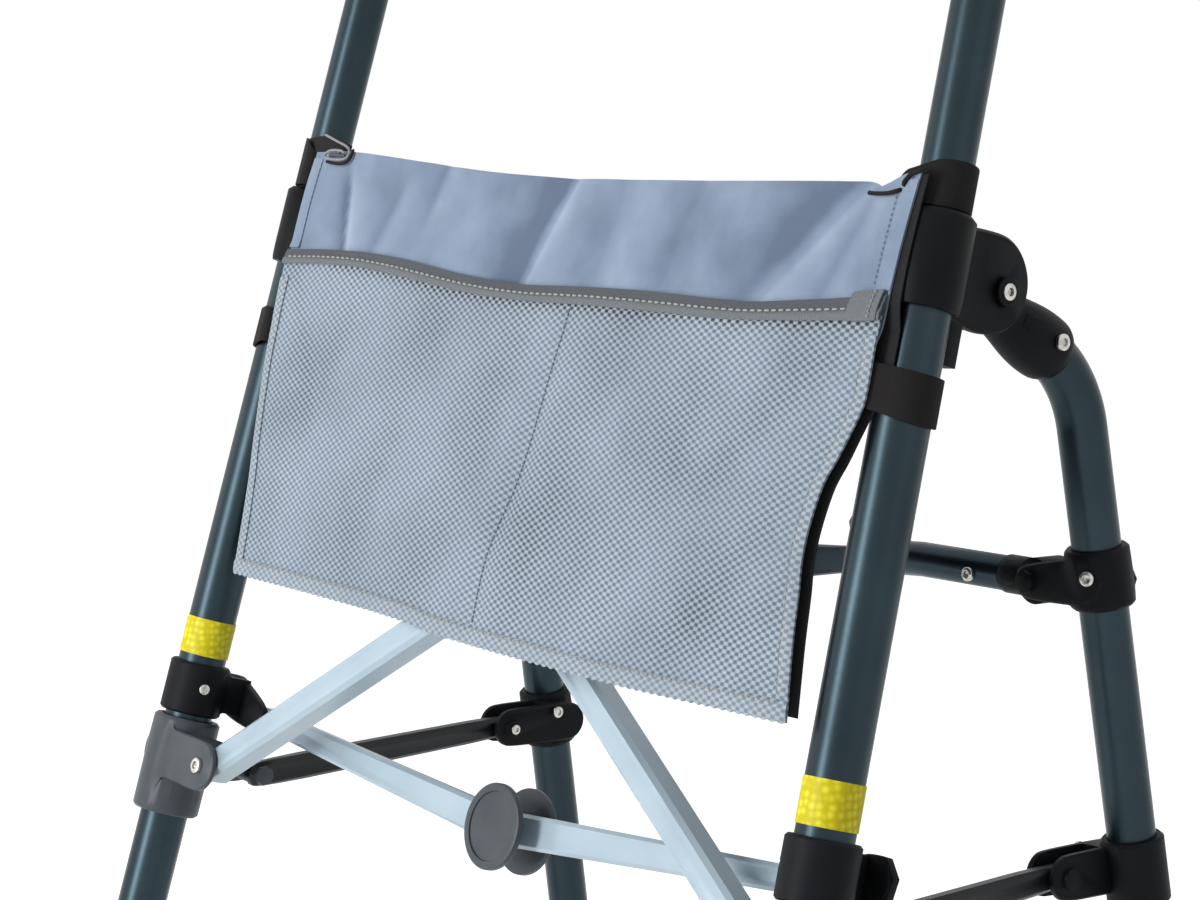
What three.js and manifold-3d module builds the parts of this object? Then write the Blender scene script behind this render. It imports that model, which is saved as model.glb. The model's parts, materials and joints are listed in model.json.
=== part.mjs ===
// Folding walker with telescoping handles, front wheels, a front cross brace and a hanging bag.
// Millimetres. +Z is up, the front faces -Y and the user's left hand is at +X.
// The origin lies on the floor, in the middle of the walker's length and width.

import * as THREE from 'three';
import { mergeVertices } from 'three/addons/utils/BufferGeometryUtils.js';
import Module from 'manifold-3d';

const wasm = await Module();
wasm.setup();

// Stance. The cross level is the height at which the two cross bars meet.
const crossLevel = 510;
const legSpacing = 548;
const frontLean = THREE.MathUtils.degToRad(14.47);
const legSplay = THREE.MathUtils.degToRad(2.33);
const rearLean = THREE.MathUtils.degToRad(10.43);
const rearSetback = 189;
const rearInset = 26;
const handleHeight = 390;

// Tubes
const legDiameter = 28.6;
const legBore = 26.1;
const handleDiameter = 25.4;
const handleBore = 22.6;
const rearDiameter = 25.4;
const tubeSides = 16;
const sleeveSides = 18;
const discSides = 14;
const beltSteps = 4;
const headSteps = 8;
const roundSteps = 20;
const bendSteps = 7;
const pinSides = 8;
const nutSides = 6;
const wheelSides = 28;

// Clearances
const seatGap = 0.3;
const runningGap = 0.3;
const slideGap = 1.5;

// How much of a sleeve's radius an arm that grows out of it takes
const coreShare = 0.72;
const cutOverrun = 2;
const weldGap = 1e-5;

// Eased edges, which are also the overlaps by which solids are joined
const plateEdge = 1;
const cheekEdge = 1.6;
const ovalEdge = 2.4;

// Front leg, as distances along its axis from the cross level
const legPlugHeight = 38;
const clampLow = 142;
const clampHigh = 188;
const clampRadius = 18.8;

// Rear leg hinge, in the side frame: behind and above the cross level point of the front leg
const hingeBack = 95;
const hingeUp = 145;
const hingeHeadRadius = 25;
const hingeHeadShiftBack = -6.5;
const hingeHeadShiftUp = 4;
const hingeNeckRadius = 22;
const hingeEyeRadius = 19;
const hingeBoltRadius = 4;
const hingeBoltHeadRadius = 7.5;
const hingeBoltHeadHeight = 3;
const outerEarNear = 3.7;
const outerEarFar = 12.7;
const innerEarNear = 39.3;
const innerEarFar = 45.3;
const socketAngle = THREE.MathUtils.degToRad(29);
const socketTubeStart = 32;
const socketLength = 66;
const socketFlare = 44;
const socketNeckRadius = 13;
const socketMouthRadius = 17.5;
const rearBendRadius = 60;

// Cross brace
const crossBarSize = 17;
const crossBarEdge = 2.4;
const crossBarFront = -12;
const crossBarGap = 1.5;
const crossDrop = 20;
const crossPivotInset = 30;
const crossSliderInset = 50;
const crossSliderLevel = -163.5;
const pivotPinRadius = 3;
const pivotHeadRadius = 6;
const pivotHeadHeight = 2.6;
const cheekThickness = 4;
const cheekRadius = 15;

// Slider at the foot of the cross brace
const sliderTop = -140;
const sliderLength = 58;
const sliderRadius = 20.4;
const lugRadius = 8.5;
const lugThickness = 6;
const braceLugNear = 14.6;
const braceLugFar = 20.6;
const braceSlotRadius = 30;

// Side brace between the slider and the rear leg
const bracePivotBack = 33;
const bracePivotLevel = -161.6;
const braceRearBack = 172;
const braceInset = 40;
const braceRearUp = -154;
const braceLobeRadius = 12;
const braceHeight = 17;
const braceThickness = 9.6;
const braceEdge = 2.2;

// Fixed brackets
const upperBracketLow = -137;
const upperBracketHigh = -106;
const bracketWall = 4.4;
const frontLockInset = 31;
const frontLockLevel = -129;
const frontLockWidth = 12.7;
const frontLockDepth = 9;
const frontLockEndRadius = 9.5;
const frontLockEdge = 2;
const frontLockGap = 1;
const frontLockSag = 21;
const frontHubRadius = 24;
const frontHubCapHeight = 4;
const rearBracketLength = 31;
const rearLockReach = 36;
const rearLockUp = -5;

// Rear lock strut
const rearLockDiameter = 19;
const rearLockWall = 1.4;
const knuckleEyeRadius = 12.5;
const knuckleEyeWidth = 19;
const knuckleBarrelRadius = 10.6;
const knuckleReach = 27;
const knuckleInsert = 20;
const rearLockBendAt = 100;
const rearLockBendHalf = 9;
const rearLockSag = 15;
const rearLockTabLength = 66;
const rearLockTabThickness = 7;
const rearHubRadius = 15;

// Reflective band
const bandLow = -101;
const bandHigh = -79;
const bandThickness = 0.5;

// Front wheel
const wheelRadius = 63.5;
const tyreWidth = 26;
const tyreDepth = 11;
const tyreCrownTurn = THREE.MathUtils.degToRad(75);
const spokeRootRadius = 11;
const spokeTipRadius = 6;
const spokeWidth = 13;
const wheelAxleRadius = 4;
const wheelBoreRadius = 4.4;
const wheelHubRadius = 15;
const wheelHubWidth = 30;
const wheelSpokes = 6;
const wheelRimWall = 5;
const wheelOffset = 34;
const axleHeadRadius = 8;
const axleHeadHeight = 4;

// Rear tip
const tipWall = 4.6;
const tipHeight = 46;
const tipFlare = 21;
const tipSole = 9;

// Handle
const handleBendRadius = 65;
const handleReach = 128;
const handleFoot = 15;
const gripLength = 122;
const gripSides = 30;
const gripRadius = 17.5;
const gripFlutes = 5;
const gripFluteDepth = 1.6;
const gripEnd = 5;

// Snap button
const buttonLevel = 40;
const buttonPitch = 25.4;
const buttonHolesBelow = 2;
const buttonHolesAbove = 3;
const buttonRadius = 3.6;
const buttonProud = 5;
const springThickness = 1;
const springWidth = 8;
const springLength = 24;

// Bag
const bagTopHalf = 263;
const bagBottomHalf = 246;
const bagTop = 203;
const bagTopDip = 9;
const bagBottom = -54;
const bagBack = -19.2;
const bagPanel = 2;
const bagDepth = 6;
const bagSeam = 5;
const pocketTop = 138;
const pocketDepth = 4;
const trimHeight = 13;
const trimDepth = 2.4;
const bagCorner = 16;
const bagRimSteps = 12;
const strapThickness = 2.4;
const upperStrapLow = 189;
const upperStrapHeight = 24;
const lowerStrapLow = 90;
const lowerStrapHeight = 26;

const finish = {
  leg: { color: 0x566f78, roughness: 0.35, metalness: 0.85 },
  bar: { color: 0xb9c8d2, roughness: 0.32, metalness: 0.8 },
  brace: { color: 0x3a4348, roughness: 0.4, metalness: 0.7 },
  steel: { color: 0xc9ccd0, roughness: 0.25, metalness: 1 },
  housing: { color: 0x17191c, roughness: 0.55, metalness: 0 },
  bracket: { color: 0x5a6063, roughness: 0.5, metalness: 0.1 },
  rubber: { color: 0x1b1b1c, roughness: 0.85, metalness: 0 },
  grip: { color: 0x202123, roughness: 0.8, metalness: 0 },
  wheel: { color: 0x8c9296, roughness: 0.5, metalness: 0 },
  reflective: { color: 0xd8d21e, roughness: 0.6, metalness: 0 },
  fabric: { color: 0x8f9bab, roughness: 0.9, metalness: 0 },
  backing: { color: 0x15161a, roughness: 0.95, metalness: 0 },
  mesh: { color: 0xb4b8bf, roughness: 0.85, metalness: 0 },
  trim: { color: 0x6f6b6c, roughness: 0.9, metalness: 0 },
  webbing: { color: 0x2e2a2a, roughness: 0.95, metalness: 0 },
};

// Worked-out places
const legRadius = legDiameter / 2;
const rearRadius = rearDiameter / 2;
const handleRadius = handleDiameter / 2;
const frontReach = -Math.tan(frontLean) * (crossLevel - wheelRadius) - wheelRadius;
const rearReach = rearSetback + Math.tan(rearLean) * crossLevel + tipFlare;
const crossDepth = -(frontReach + rearReach) / 2;
const crossBarMiddle = crossBarFront + crossBarSize;
const crossBarBack = crossBarMiddle + crossBarGap + crossBarSize;
const webFront = crossBarBack + crossBarGap;
const bracketRadius = legRadius + bracketWall;
const rearBracketRadius = rearRadius + bracketWall;

// Solids

function solid(geometry) {
  const bare = geometry.clone();
  for (const name of Object.keys(bare.attributes)) {
    if (name !== 'position') bare.deleteAttribute(name);
  }
  const merged = mergeVertices(bare, weldGap);
  return new wasm.Manifold(new wasm.Mesh({
    numProp: 3,
    vertProperties: new Float32Array(merged.attributes.position.array),
    triVerts: new Uint32Array(merged.index.array),
  }));
}

function geometryOf(body) {
  const mesh = body.getMesh();
  const geometry = new THREE.BufferGeometry();
  geometry.setAttribute('position', new THREE.BufferAttribute(mesh.vertProperties, 3));
  geometry.setIndex(new THREE.BufferAttribute(mesh.triVerts, 1));
  const flat = geometry.toNonIndexed();
  flat.computeVertexNormals();
  return flat;
}

const join = (...bodies) => bodies.reduce((sum, body) => sum.add(body));
const cut = (body, ...tools) => tools.reduce((rest, tool) => rest.subtract(tool), body);

// Outlines are lists of Vector2.
const point = (x, y) => new THREE.Vector2(x, y);

function arc(x, y, radius, from, to, steps) {
  return Array.from({ length: steps + 1 }, (_, i) => {
    const angle = from + (to - from) * i / steps;
    return point(x + radius * Math.cos(angle), y + radius * Math.sin(angle));
  });
}

// The outline that a belt takes round two circles.
function belt(ax, ay, ar, bx, by, br, steps = beltSteps) {
  const along = Math.atan2(by - ay, bx - ax);
  const lean = Math.acos((ar - br) / Math.hypot(bx - ax, by - ay));
  return [
    ...arc(bx, by, br, along - lean, along + lean, steps),
    ...arc(ax, ay, ar, along + lean, along + 2 * Math.PI - lean, steps),
  ];
}

function extrude(outline, depth, edge) {
  return new THREE.ExtrudeGeometry(new THREE.Shape(outline), {
    depth: depth - 2 * edge,
    bevelEnabled: edge > 0,
    bevelSize: edge,
    bevelOffset: -edge,
    bevelThickness: edge,
    bevelSegments: 1,
  }).translate(0, 0, edge);
}

// A plate across x: its outline is drawn in y and z.
function crossPlate(outline, x0, x1, edge = 0) {
  const low = Math.min(x0, x1);
  const turn = new THREE.Matrix4().makeBasis(
    new THREE.Vector3(0, 1, 0), new THREE.Vector3(0, 0, 1), new THREE.Vector3(1, 0, 0));
  return solid(extrude(outline, Math.abs(x1 - x0), edge).applyMatrix4(turn).translate(low, 0, 0));
}

// A plate across y: its outline is drawn in x and z.
function facePlate(outline, y0, y1, edge = 0) {
  const high = Math.max(y0, y1);
  const geometry = extrude(outline, Math.abs(y1 - y0), edge).rotateX(Math.PI / 2);
  return solid(geometry.translate(0, high, 0));
}

function rod(from, to, radius, sides = pinSides) {
  const axis = new THREE.Vector3().subVectors(to, from);
  const geometry = new THREE.CylinderGeometry(radius, radius, axis.length(), sides);
  const turn = new THREE.Quaternion().setFromUnitVectors(
    new THREE.Vector3(0, 1, 0), axis.clone().normalize());
  geometry.applyQuaternion(turn);
  return solid(geometry.translate(
    (from.x + to.x) / 2, (from.y + to.y) / 2, (from.z + to.z) / 2));
}

const at = (x, y, z) => new THREE.Vector3(x, y, z);
const upright = (x, y, z0, z1, radius, sides) => rod(at(x, y, z0), at(x, y, z1), radius, sides);
const endways = (x, z, y0, y1, radius, sides) => rod(at(x, y0, z), at(x, y1, z), radius, sides);
const sideways = (y, z, x0, x1, radius, sides) => rod(at(x0, y, z), at(x1, y, z), radius, sides);

// A solid turned about an axis. Its profile is drawn as (radius, distance along the axis).
function turned(profile, from, towards, sides = tubeSides) {
  const geometry = new THREE.LatheGeometry(profile, sides);
  const turn = new THREE.Quaternion().setFromUnitVectors(new THREE.Vector3(0, 1, 0), towards);
  return solid(geometry.applyQuaternion(turn).translate(from.x, from.y, from.z));
}

// A path whose steps fall on its listed points, so that straight runs take one step.
class ListedPath extends THREE.Curve {
  constructor(points) {
    super();
    this.points = points;
  }

  getPoint(share, target = new THREE.Vector3()) {
    const place = Math.min(Math.max(share, 0), 1) * (this.points.length - 1);
    const index = Math.min(Math.floor(place), this.points.length - 2);
    return target.lerpVectors(this.points[index], this.points[index + 1], place - index);
  }

  getPointAt(share, target) {
    return this.getPoint(share, target);
  }

  getTangentAt(share, target) {
    return this.getTangent(share, target);
  }
}

function tube(points, outer, inner, sides = tubeSides) {
  const shape = new THREE.Shape(arc(0, 0, outer, 0, 2 * Math.PI, sides).slice(0, -1));
  if (inner > 0) shape.holes.push(new THREE.Path(arc(0, 0, inner, 2 * Math.PI, 0, sides).slice(0, -1)));
  return solid(new THREE.ExtrudeGeometry(shape, {
    steps: points.length - 1,
    extrudePath: new ListedPath(points),
    bevelEnabled: false,
  }));
}

function box(x0, x1, y0, y1, z0, z1) {
  const geometry = new THREE.BoxGeometry(Math.abs(x1 - x0), Math.abs(y1 - y0), Math.abs(z1 - z0));
  return solid(geometry.translate((x0 + x1) / 2, (y0 + y1) / 2, (z0 + z1) / 2));
}

function piece(name, body, look) {
  const mesh = new THREE.Mesh(geometryOf(body), new THREE.MeshStandardMaterial(look));
  mesh.name = name;
  return mesh;
}

// Frames

const walker = new THREE.Group();
const front = new THREE.Group();
front.position.set(0, crossDepth, crossLevel);
front.rotation.x = -frontLean;
walker.add(front);

// One side frame. The leg group's z runs up the front leg; the side group's z is upright.
function sideGroups(side) {
  const leg = new THREE.Group();
  leg.position.x = side * legSpacing / 2;
  leg.rotation.y = -side * legSplay;
  front.add(leg);
  const frame = new THREE.Group();
  frame.rotation.x = frontLean;
  leg.add(frame);
  walker.updateMatrixWorld(true);
  return { leg, frame };
}

const toLeg = (back, up) => ({
  back: back * Math.cos(frontLean) - up * Math.sin(frontLean),
  up: back * Math.sin(frontLean) + up * Math.cos(frontLean),
});

// Where the cross bars' upper pivots fall: on the line from the slider pivot through the crossing.
const sliderHalf = legSpacing / 2 - Math.tan(legSplay) * crossSliderLevel
  - crossSliderInset / Math.cos(legSplay);
const crossSlope = (crossSliderLevel + crossDrop) / -sliderHalf;
const upperHalf = (legSpacing / 2 - crossPivotInset / Math.cos(legSplay) + Math.tan(legSplay) * crossDrop)
  / (1 + Math.tan(legSplay) * crossSlope);
const upperLevel = -crossDrop + crossSlope * upperHalf;
const upperAlongLeg = upperLevel / Math.cos(legSplay) + crossPivotInset * Math.tan(legSplay);
const sliderAlongLeg = crossSliderLevel / Math.cos(legSplay) + crossSliderInset * Math.tan(legSplay);

// Front leg and what is fixed to it

function legTube(side, axleLevel) {
  const bottom = legPlugHeight - crossLevel / Math.cos(frontLean);
  const shell = tube([at(0, 0, bottom), at(0, 0, clampHigh - seatGap)], legRadius, legBore / 2);
  const holes = [];
  for (let i = -buttonHolesBelow; i <= buttonHolesAbove; i += 1) {
    const level = buttonLevel + i * buttonPitch;
    holes.push(sideways(0, level, 0, -side * (legRadius + cutOverrun), buttonRadius + runningGap));
  }
  const axle = axleHole(side, axleLevel, wheelAxleRadius + seatGap);
  return cut(shell, ...holes, axle);
}

// A level hole across the leaning leg, drilled in the leg's own frame.
function axleHole(side, level, radius) {
  const across = at(1, 0, 0).applyAxisAngle(at(0, 1, 0), side * legSplay);
  const reach = legDiameter;
  return rod(
    at(0, 0, level).addScaledVector(across, -reach), at(0, 0, level).addScaledVector(across, reach), radius);
}

function legPlug(side) {
  const bottom = legPlugHeight - crossLevel / Math.cos(frontLean);
  const plug = legBore / 2 - seatGap;
  const insert = legPlugHeight / 3;
  const flange = legPlugHeight / 8;
  return turned([
    point(0, -flange - seatGap), point(legRadius - flange / 2, -flange - seatGap),
    point(legRadius, -flange / 2 - seatGap), point(legRadius, -seatGap),
    point(plug, -seatGap), point(plug, insert), point(0, insert),
  ], at(0, 0, bottom), at(0, 0, 1));
}

// The middle of the hinge's round head, which lies a little in front of its bolt.
const hingeHead = toLeg(hingeBack + hingeHeadShiftBack, hingeUp + hingeHeadShiftUp);

function hingeClamp(side) {
  const bolt = toLeg(hingeBack, hingeUp);
  const inward = (distance) => -side * distance;
  const sleeve = turned([
    point(0, clampLow), point(clampRadius - plateEdge, clampLow), point(clampRadius, clampLow + ovalEdge),
    point(clampRadius, clampHigh - ovalEdge), point(clampRadius - ovalEdge, clampHigh), point(0, clampHigh),
  ], at(0, 0, 0), at(0, 0, 1), sleeveSides);
  const middle = (clampLow + clampHigh) / 2;
  const cheek = belt(clampRadius / 2, middle, hingeNeckRadius, hingeHead.back, hingeHead.up, hingeHeadRadius,
    headSteps);
  const outerEar = crossPlate(cheek, inward(outerEarNear), inward(outerEarFar), cheekEdge);
  const innerEar = crossPlate(cheek, inward(innerEarNear), inward(innerEarFar), plateEdge);
  const webBack = bolt.back - hingeEyeRadius - 2 * slideGap;
  const webLow = Math.min(clampLow + slideGap, upperAlongLeg - lugRadius);
  const web = box(inward(outerEarNear + slideGap), inward(innerEarFar - slideGap), webFront, webBack,
    webLow, clampHigh - slideGap);
  const barRoom = box(inward(clampRadius + seatGap), inward(innerEarFar + cutOverrun),
    -hingeHeadRadius, webFront, clampLow - hingeHeadRadius, clampHigh + hingeHeadRadius);
  const bore = upright(0, 0, clampLow - cutOverrun, clampHigh + cutOverrun, legRadius + seatGap, tubeSides);
  const boltHole = sideways(bolt.back, bolt.up, inward(-legRadius), inward(innerEarFar + cutOverrun),
    hingeBoltRadius + seatGap);
  const barFront = side > 0 ? crossBarFront : crossBarMiddle + crossBarGap;
  const pin = pivotPin(side, upperAlongLeg, webFront + slideGap, barFront,
    barFront + crossBarSize + seatGap);
  const earRelief = upright(0, 0, clampHigh, clampHigh + hingeHeadRadius, handleRadius + slideGap,
    tubeSides);
  const housing = cut(join(sleeve, outerEar, innerEar, web), barRoom);
  return cut(join(housing, pin), bore, boltHole, earRelief);
}

// A pin that stands forward (towards -y) through a bar's end and is headed over in front of it.
function pivotPin(side, level, root, barFront, barBack) {
  const x = -side * crossPivotInset;
  const boss = endways(x, level, root, barBack, pivotHeadRadius + slideGap);
  const shaft = endways(x, level, root, barFront - seatGap - pivotHeadHeight, pivotPinRadius);
  const head = endways(x, level, barFront - seatGap, barFront - seatGap - pivotHeadHeight, pivotHeadRadius);
  return join(boss, shaft, head);
}

function hingeBolt(side) {
  const head = toLeg(hingeBack, hingeUp);
  const inward = (distance) => -side * distance;
  const outer = outerEarNear - seatGap;
  const inner = innerEarFar + seatGap;
  const socket = sideways(head.back, head.up, inward(outer - hingeBoltHeadHeight - cutOverrun),
    inward(outer - hingeBoltHeadHeight / 2), hingeBoltRadius / 2, nutSides);
  return cut(join(
    sideways(head.back, head.up, inward(outer), inward(inner), hingeBoltRadius),
    sideways(head.back, head.up, inward(outer - hingeBoltHeadHeight), inward(outer), hingeBoltHeadRadius,
      discSides),
    sideways(head.back, head.up, inward(inner), inward(inner + hingeBoltHeadHeight * 2), hingeBoltHeadRadius,
      nutSides),
  ), socket);
}

function sleeveBody(low, high, radius, bore, sides = sleeveSides) {
  const edge = (radius - bore) / 3;
  return turned([
    point(bore, low), point(radius - edge, low), point(radius, low + edge),
    point(radius, high - edge), point(radius - edge, high), point(bore, high), point(bore, low),
  ], at(0, 0, 0), at(0, 0, 1), sides);
}

function upperBracket(side) {
  const x = -side * frontLockInset;
  const layer = frontLockLayer(side);
  const sleeve = sleeveBody(upperBracketLow, upperBracketHigh, bracketRadius, legRadius + seatGap);
  const lugBack = layer.front - seatGap;
  const lugFront = lugBack - lugThickness;
  const core = bracketRadius * coreShare;
  const lug = facePlate(belt(0, (upperBracketLow + upperBracketHigh) / 2, core, x, frontLockLevel,
    lugRadius + plateEdge), lugFront, lugBack, plateEdge);
  const neck = box(-side * bracketWall, -side * core, 0, lugBack - plateEdge,
    upperBracketLow + bracketWall, upperBracketHigh - bracketWall);
  const shaft = endways(x, frontLockLevel, lugFront, layer.back + seatGap + pivotHeadHeight, pivotPinRadius);
  const head = endways(x, frontLockLevel, layer.back + seatGap, layer.back + seatGap + pivotHeadHeight,
    pivotHeadRadius);
  const bore = upright(0, 0, upperBracketLow - cutOverrun, upperBracketHigh + cutOverrun,
    legRadius + seatGap, tubeSides);
  return cut(join(sleeve, lug, neck, shaft, head), bore);
}

function sliderBracket(side) {
  const x = -side * crossSliderInset;
  const low = sliderTop - sliderLength;
  const barFront = side > 0 ? crossBarMiddle + crossBarGap : crossBarFront;
  const barBack = barFront + crossBarSize;
  const cheekBack = barFront - seatGap;
  const cheekFront = cheekBack - cheekThickness;
  const core = sliderRadius * coreShare;
  const cheek = facePlate(belt(0, sliderAlongLeg, core, x, sliderAlongLeg, cheekRadius, headSteps),
    cheekFront, cheekBack, plateEdge);
  const shaft = endways(x, sliderAlongLeg, cheekFront + plateEdge, barBack + seatGap + pivotHeadHeight,
    pivotPinRadius);
  const head = endways(x, sliderAlongLeg, barBack + seatGap, barBack + seatGap + pivotHeadHeight,
    pivotHeadRadius - plateEdge);
  const lugReach = lugRadius + plateEdge;
  const braceLug = crossPlate(belt(0, bracePivotLevel, core, bracePivotBack, bracePivotLevel, lugReach),
    -side * braceLugNear, -side * braceLugFar, plateEdge);
  const braceNeck = box(-side * legRadius / 2, -side * (braceLugFar - plateEdge), 0, core,
    bracePivotLevel - lugRadius, bracePivotLevel + lugRadius);
  const braceStart = braceInset - braceThickness / 2 - seatGap;
  const braceEnd = braceInset + braceThickness / 2 + seatGap;
  const boss = sideways(bracePivotBack, bracePivotLevel, -side * braceLugNear, -side * braceStart,
    lugRadius - plateEdge, discSides);
  const bracePin = sideways(bracePivotBack, bracePivotLevel, -side * braceLugNear,
    -side * (braceEnd + pivotHeadHeight), pivotPinRadius);
  const braceHead = sideways(bracePivotBack, bracePivotLevel, -side * braceEnd,
    -side * (braceEnd + pivotHeadHeight), pivotHeadRadius);
  const bore = upright(0, 0, low - cutOverrun, sliderTop + cutOverrun, legRadius + slideGap, tubeSides);
  const sleeve = sleeveBody(low, sliderTop, sliderRadius, legRadius + slideGap);
  return cut(join(sleeve, cheek, shaft, head, braceLug, braceNeck, boss, bracePin, braceHead), bore);
}

function reflectiveBand() {
  const bore = legRadius + seatGap / 3;
  return tube([at(0, 0, bandLow), at(0, 0, bandHigh)], bore + bandThickness, bore, tubeSides);
}

function strapRing(radius, low, height) {
  return tube([at(0, 0, low), at(0, 0, low + height)], radius + seatGap + strapThickness, radius + seatGap);
}

// Front wheel, in a frame at its axle with x across the walker

function wheelAxle(side) {
  const out = (distance) => side * distance;
  const hubOut = wheelOffset + wheelHubWidth / 2 + seatGap;
  const hubIn = wheelOffset - wheelHubWidth / 2 - seatGap;
  return join(
    sideways(0, 0, out(-legRadius - axleHeadHeight), out(hubOut + axleHeadHeight), wheelAxleRadius),
    sideways(0, 0, out(hubOut), out(hubOut + axleHeadHeight), axleHeadRadius, discSides),
    sideways(0, 0, out(legRadius + 2 * seatGap), out(hubIn), axleHeadRadius),
    sideways(0, 0, out(-legRadius - 2 * seatGap - axleHeadHeight), out(-legRadius - 2 * seatGap),
      axleHeadRadius, nutSides),
  );
}

function wheelTyre() {
  const rim = wheelRadius - tyreDepth;
  const half = tyreWidth / 2;
  const crown = arc(wheelRadius - half / 2, 0, half / 2, -tyreCrownTurn, tyreCrownTurn, beltSteps)
    .map((p) => point(p.x, p.y * 2));
  return turned([point(rim, -half), point(rim + tyreDepth / 2, -half), ...crown,
    point(rim + tyreDepth / 2, half), point(rim, half), point(rim, -half)],
  at(0, 0, 0), at(1, 0, 0), wheelSides);
}

function wheelHub() {
  const rimOut = wheelRadius - tyreDepth - seatGap;
  const rimIn = rimOut - wheelRimWall;
  const half = tyreWidth / 2 - plateEdge;
  const rim = turned([point(rimIn, -half), point(rimOut, -half), point(rimOut, half), point(rimIn, half),
    point(rimIn, -half)], at(0, 0, 0), at(1, 0, 0), wheelSides);
  const boss = sideways(0, 0, -wheelHubWidth / 2, wheelHubWidth / 2, wheelHubRadius, discSides);
  const spokes = Array.from({ length: wheelSpokes }, (_, i) => {
    const angle = 2 * Math.PI * i / wheelSpokes;
    const reach = rimIn + wheelRimWall / 2 - spokeTipRadius;
    return crossPlate(belt(0, 0, spokeRootRadius, reach * Math.cos(angle), reach * Math.sin(angle),
      spokeTipRadius), -spokeWidth / 2, spokeWidth / 2);
  });
  const bore = sideways(0, 0, -wheelHubWidth, wheelHubWidth, wheelBoreRadius, discSides);
  return cut(join(rim, boss, ...spokes), bore);
}

// Rear leg, in the upright side frame. Its socket turns on the hinge bolt.

const socketWay = point(Math.cos(socketAngle), -Math.sin(socketAngle));
const rearLine = (up) => rearSetback - Math.tan(rearLean) * up;

function rearPath(side) {
  const x = -side * rearInset;
  const legWay = point(Math.sin(rearLean), -Math.cos(rearLean));
  const gap = rearLine(hingeUp) - hingeBack;
  const reach = gap / (socketWay.x + Math.tan(rearLean) * socketWay.y);
  const corner = point(hingeBack + reach * socketWay.x, hingeUp + reach * socketWay.y);
  const turn = Math.acos(socketWay.dot(legWay));
  const tangent = Math.min(rearBendRadius * Math.tan(turn / 2), reach - socketTubeStart - plateEdge);
  const radius = tangent / Math.tan(turn / 2);
  const bendStart = corner.clone().addScaledVector(socketWay, -tangent);
  const centre = point(bendStart.x + socketWay.y * radius, bendStart.y - socketWay.x * radius);
  const first = Math.atan2(bendStart.y - centre.y, bendStart.x - centre.x);
  const bend = arc(centre.x, centre.y, radius, first, first - turn, bendSteps);
  const top = point(hingeBack + socketTubeStart * socketWay.x, hingeUp + socketTubeStart * socketWay.y);
  const foot = tipSole - crossLevel;
  const path = [top, ...bend, point(rearLine(foot), foot)];
  return path.map((p) => at(x, p.x, p.y));
}

function rearSocket(side) {
  const x = -side * rearInset;
  const centre = at(x, hingeBack, hingeUp);
  const way = at(0, socketWay.x, socketWay.y);
  const half = (innerEarNear - outerEarFar) / 2 - seatGap;
  const middle = -side * (innerEarNear + outerEarFar) / 2;
  const eye = crossPlate(arc(hingeBack, hingeUp, hingeEyeRadius, 0, 2 * Math.PI, roundSteps).slice(0, -1),
    middle - half, middle + half, plateEdge);
  const neckStart = hingeEyeRadius / 2;
  const shoulder = socketLength - 2 * ovalEdge;
  const barrel = turned([
    point(0, neckStart), point(socketNeckRadius - plateEdge, neckStart),
    point(socketNeckRadius, hingeHeadRadius), point(socketMouthRadius, socketFlare),
    point(socketMouthRadius, shoulder - ovalEdge),
    point(socketMouthRadius - plateEdge, shoulder + plateEdge),
    point(socketMouthRadius - ovalEdge - plateEdge, socketLength), point(0, socketLength),
  ], centre, way, discSides);
  const past = (distance) => centre.clone().addScaledVector(way, distance);
  const slimmed = barrel.intersect(join(
    box(middle - half, middle + half, -crossLevel, crossLevel, -crossLevel, crossLevel),
    rod(past(hingeHeadRadius + 2 * slideGap), past(socketLength + cutOverrun), socketMouthRadius + ovalEdge,
      discSides)));
  const route = rearPath(side).slice(0, -1);
  route[0].addScaledVector(way, -seatGap);
  const bore = tube(route, rearRadius + seatGap, 0, tubeSides);
  const boltHole = sideways(hingeBack, hingeUp, middle - half - cutOverrun, middle + half + cutOverrun,
    hingeBoltRadius + runningGap);
  return cut(join(eye, slimmed), bore, boltHole);
}

function rearTip(side, floorInFrame) {
  const x = -side * rearInset;
  const foot = at(x, rearLine(-crossLevel), -crossLevel);
  const way = at(0, -Math.sin(rearLean), Math.cos(rearLean));
  const sleeve = rearRadius + tipWall;
  const body = turned([
    point(0, -tipFlare), point(tipFlare, -tipFlare), point(tipFlare, tipSole / 2),
    point(sleeve + plateEdge, tipSole + tipWall), point(sleeve, tipHeight / 2),
    point(sleeve - plateEdge, tipHeight - ovalEdge), point(sleeve - ovalEdge, tipHeight),
    point(0, tipHeight),
  ], foot, way, discSides);
  const tubeFoot = foot.clone().addScaledVector(way, tipSole / Math.cos(rearLean) - seatGap);
  const bore = rod(tubeFoot, foot.clone().addScaledVector(way, tipHeight + cutOverrun),
    rearRadius + seatGap, tubeSides);
  return cut(body, bore, floorInFrame);
}

// A sleeve along the rear leg at a given height in the side frame.
function rearSleeve(side, up, length) {
  const way = at(0, -Math.sin(rearLean), Math.cos(rearLean));
  const centre = at(-side * rearInset, rearLine(up), up);
  const low = centre.clone().addScaledVector(way, -length / 2);
  const edge = bracketWall / 3;
  return turned([
    point(0, 0), point(rearBracketRadius - edge, 0), point(rearBracketRadius, edge),
    point(rearBracketRadius, length - edge), point(rearBracketRadius - edge, length), point(0, length),
  ], low, way, discSides);
}

function rearBore(side, up, length) {
  const way = at(0, -Math.sin(rearLean), Math.cos(rearLean));
  const centre = at(-side * rearInset, rearLine(up), up);
  return rod(centre.clone().addScaledVector(way, -length), centre.clone().addScaledVector(way, length),
    rearRadius + seatGap, tubeSides);
}

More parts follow.
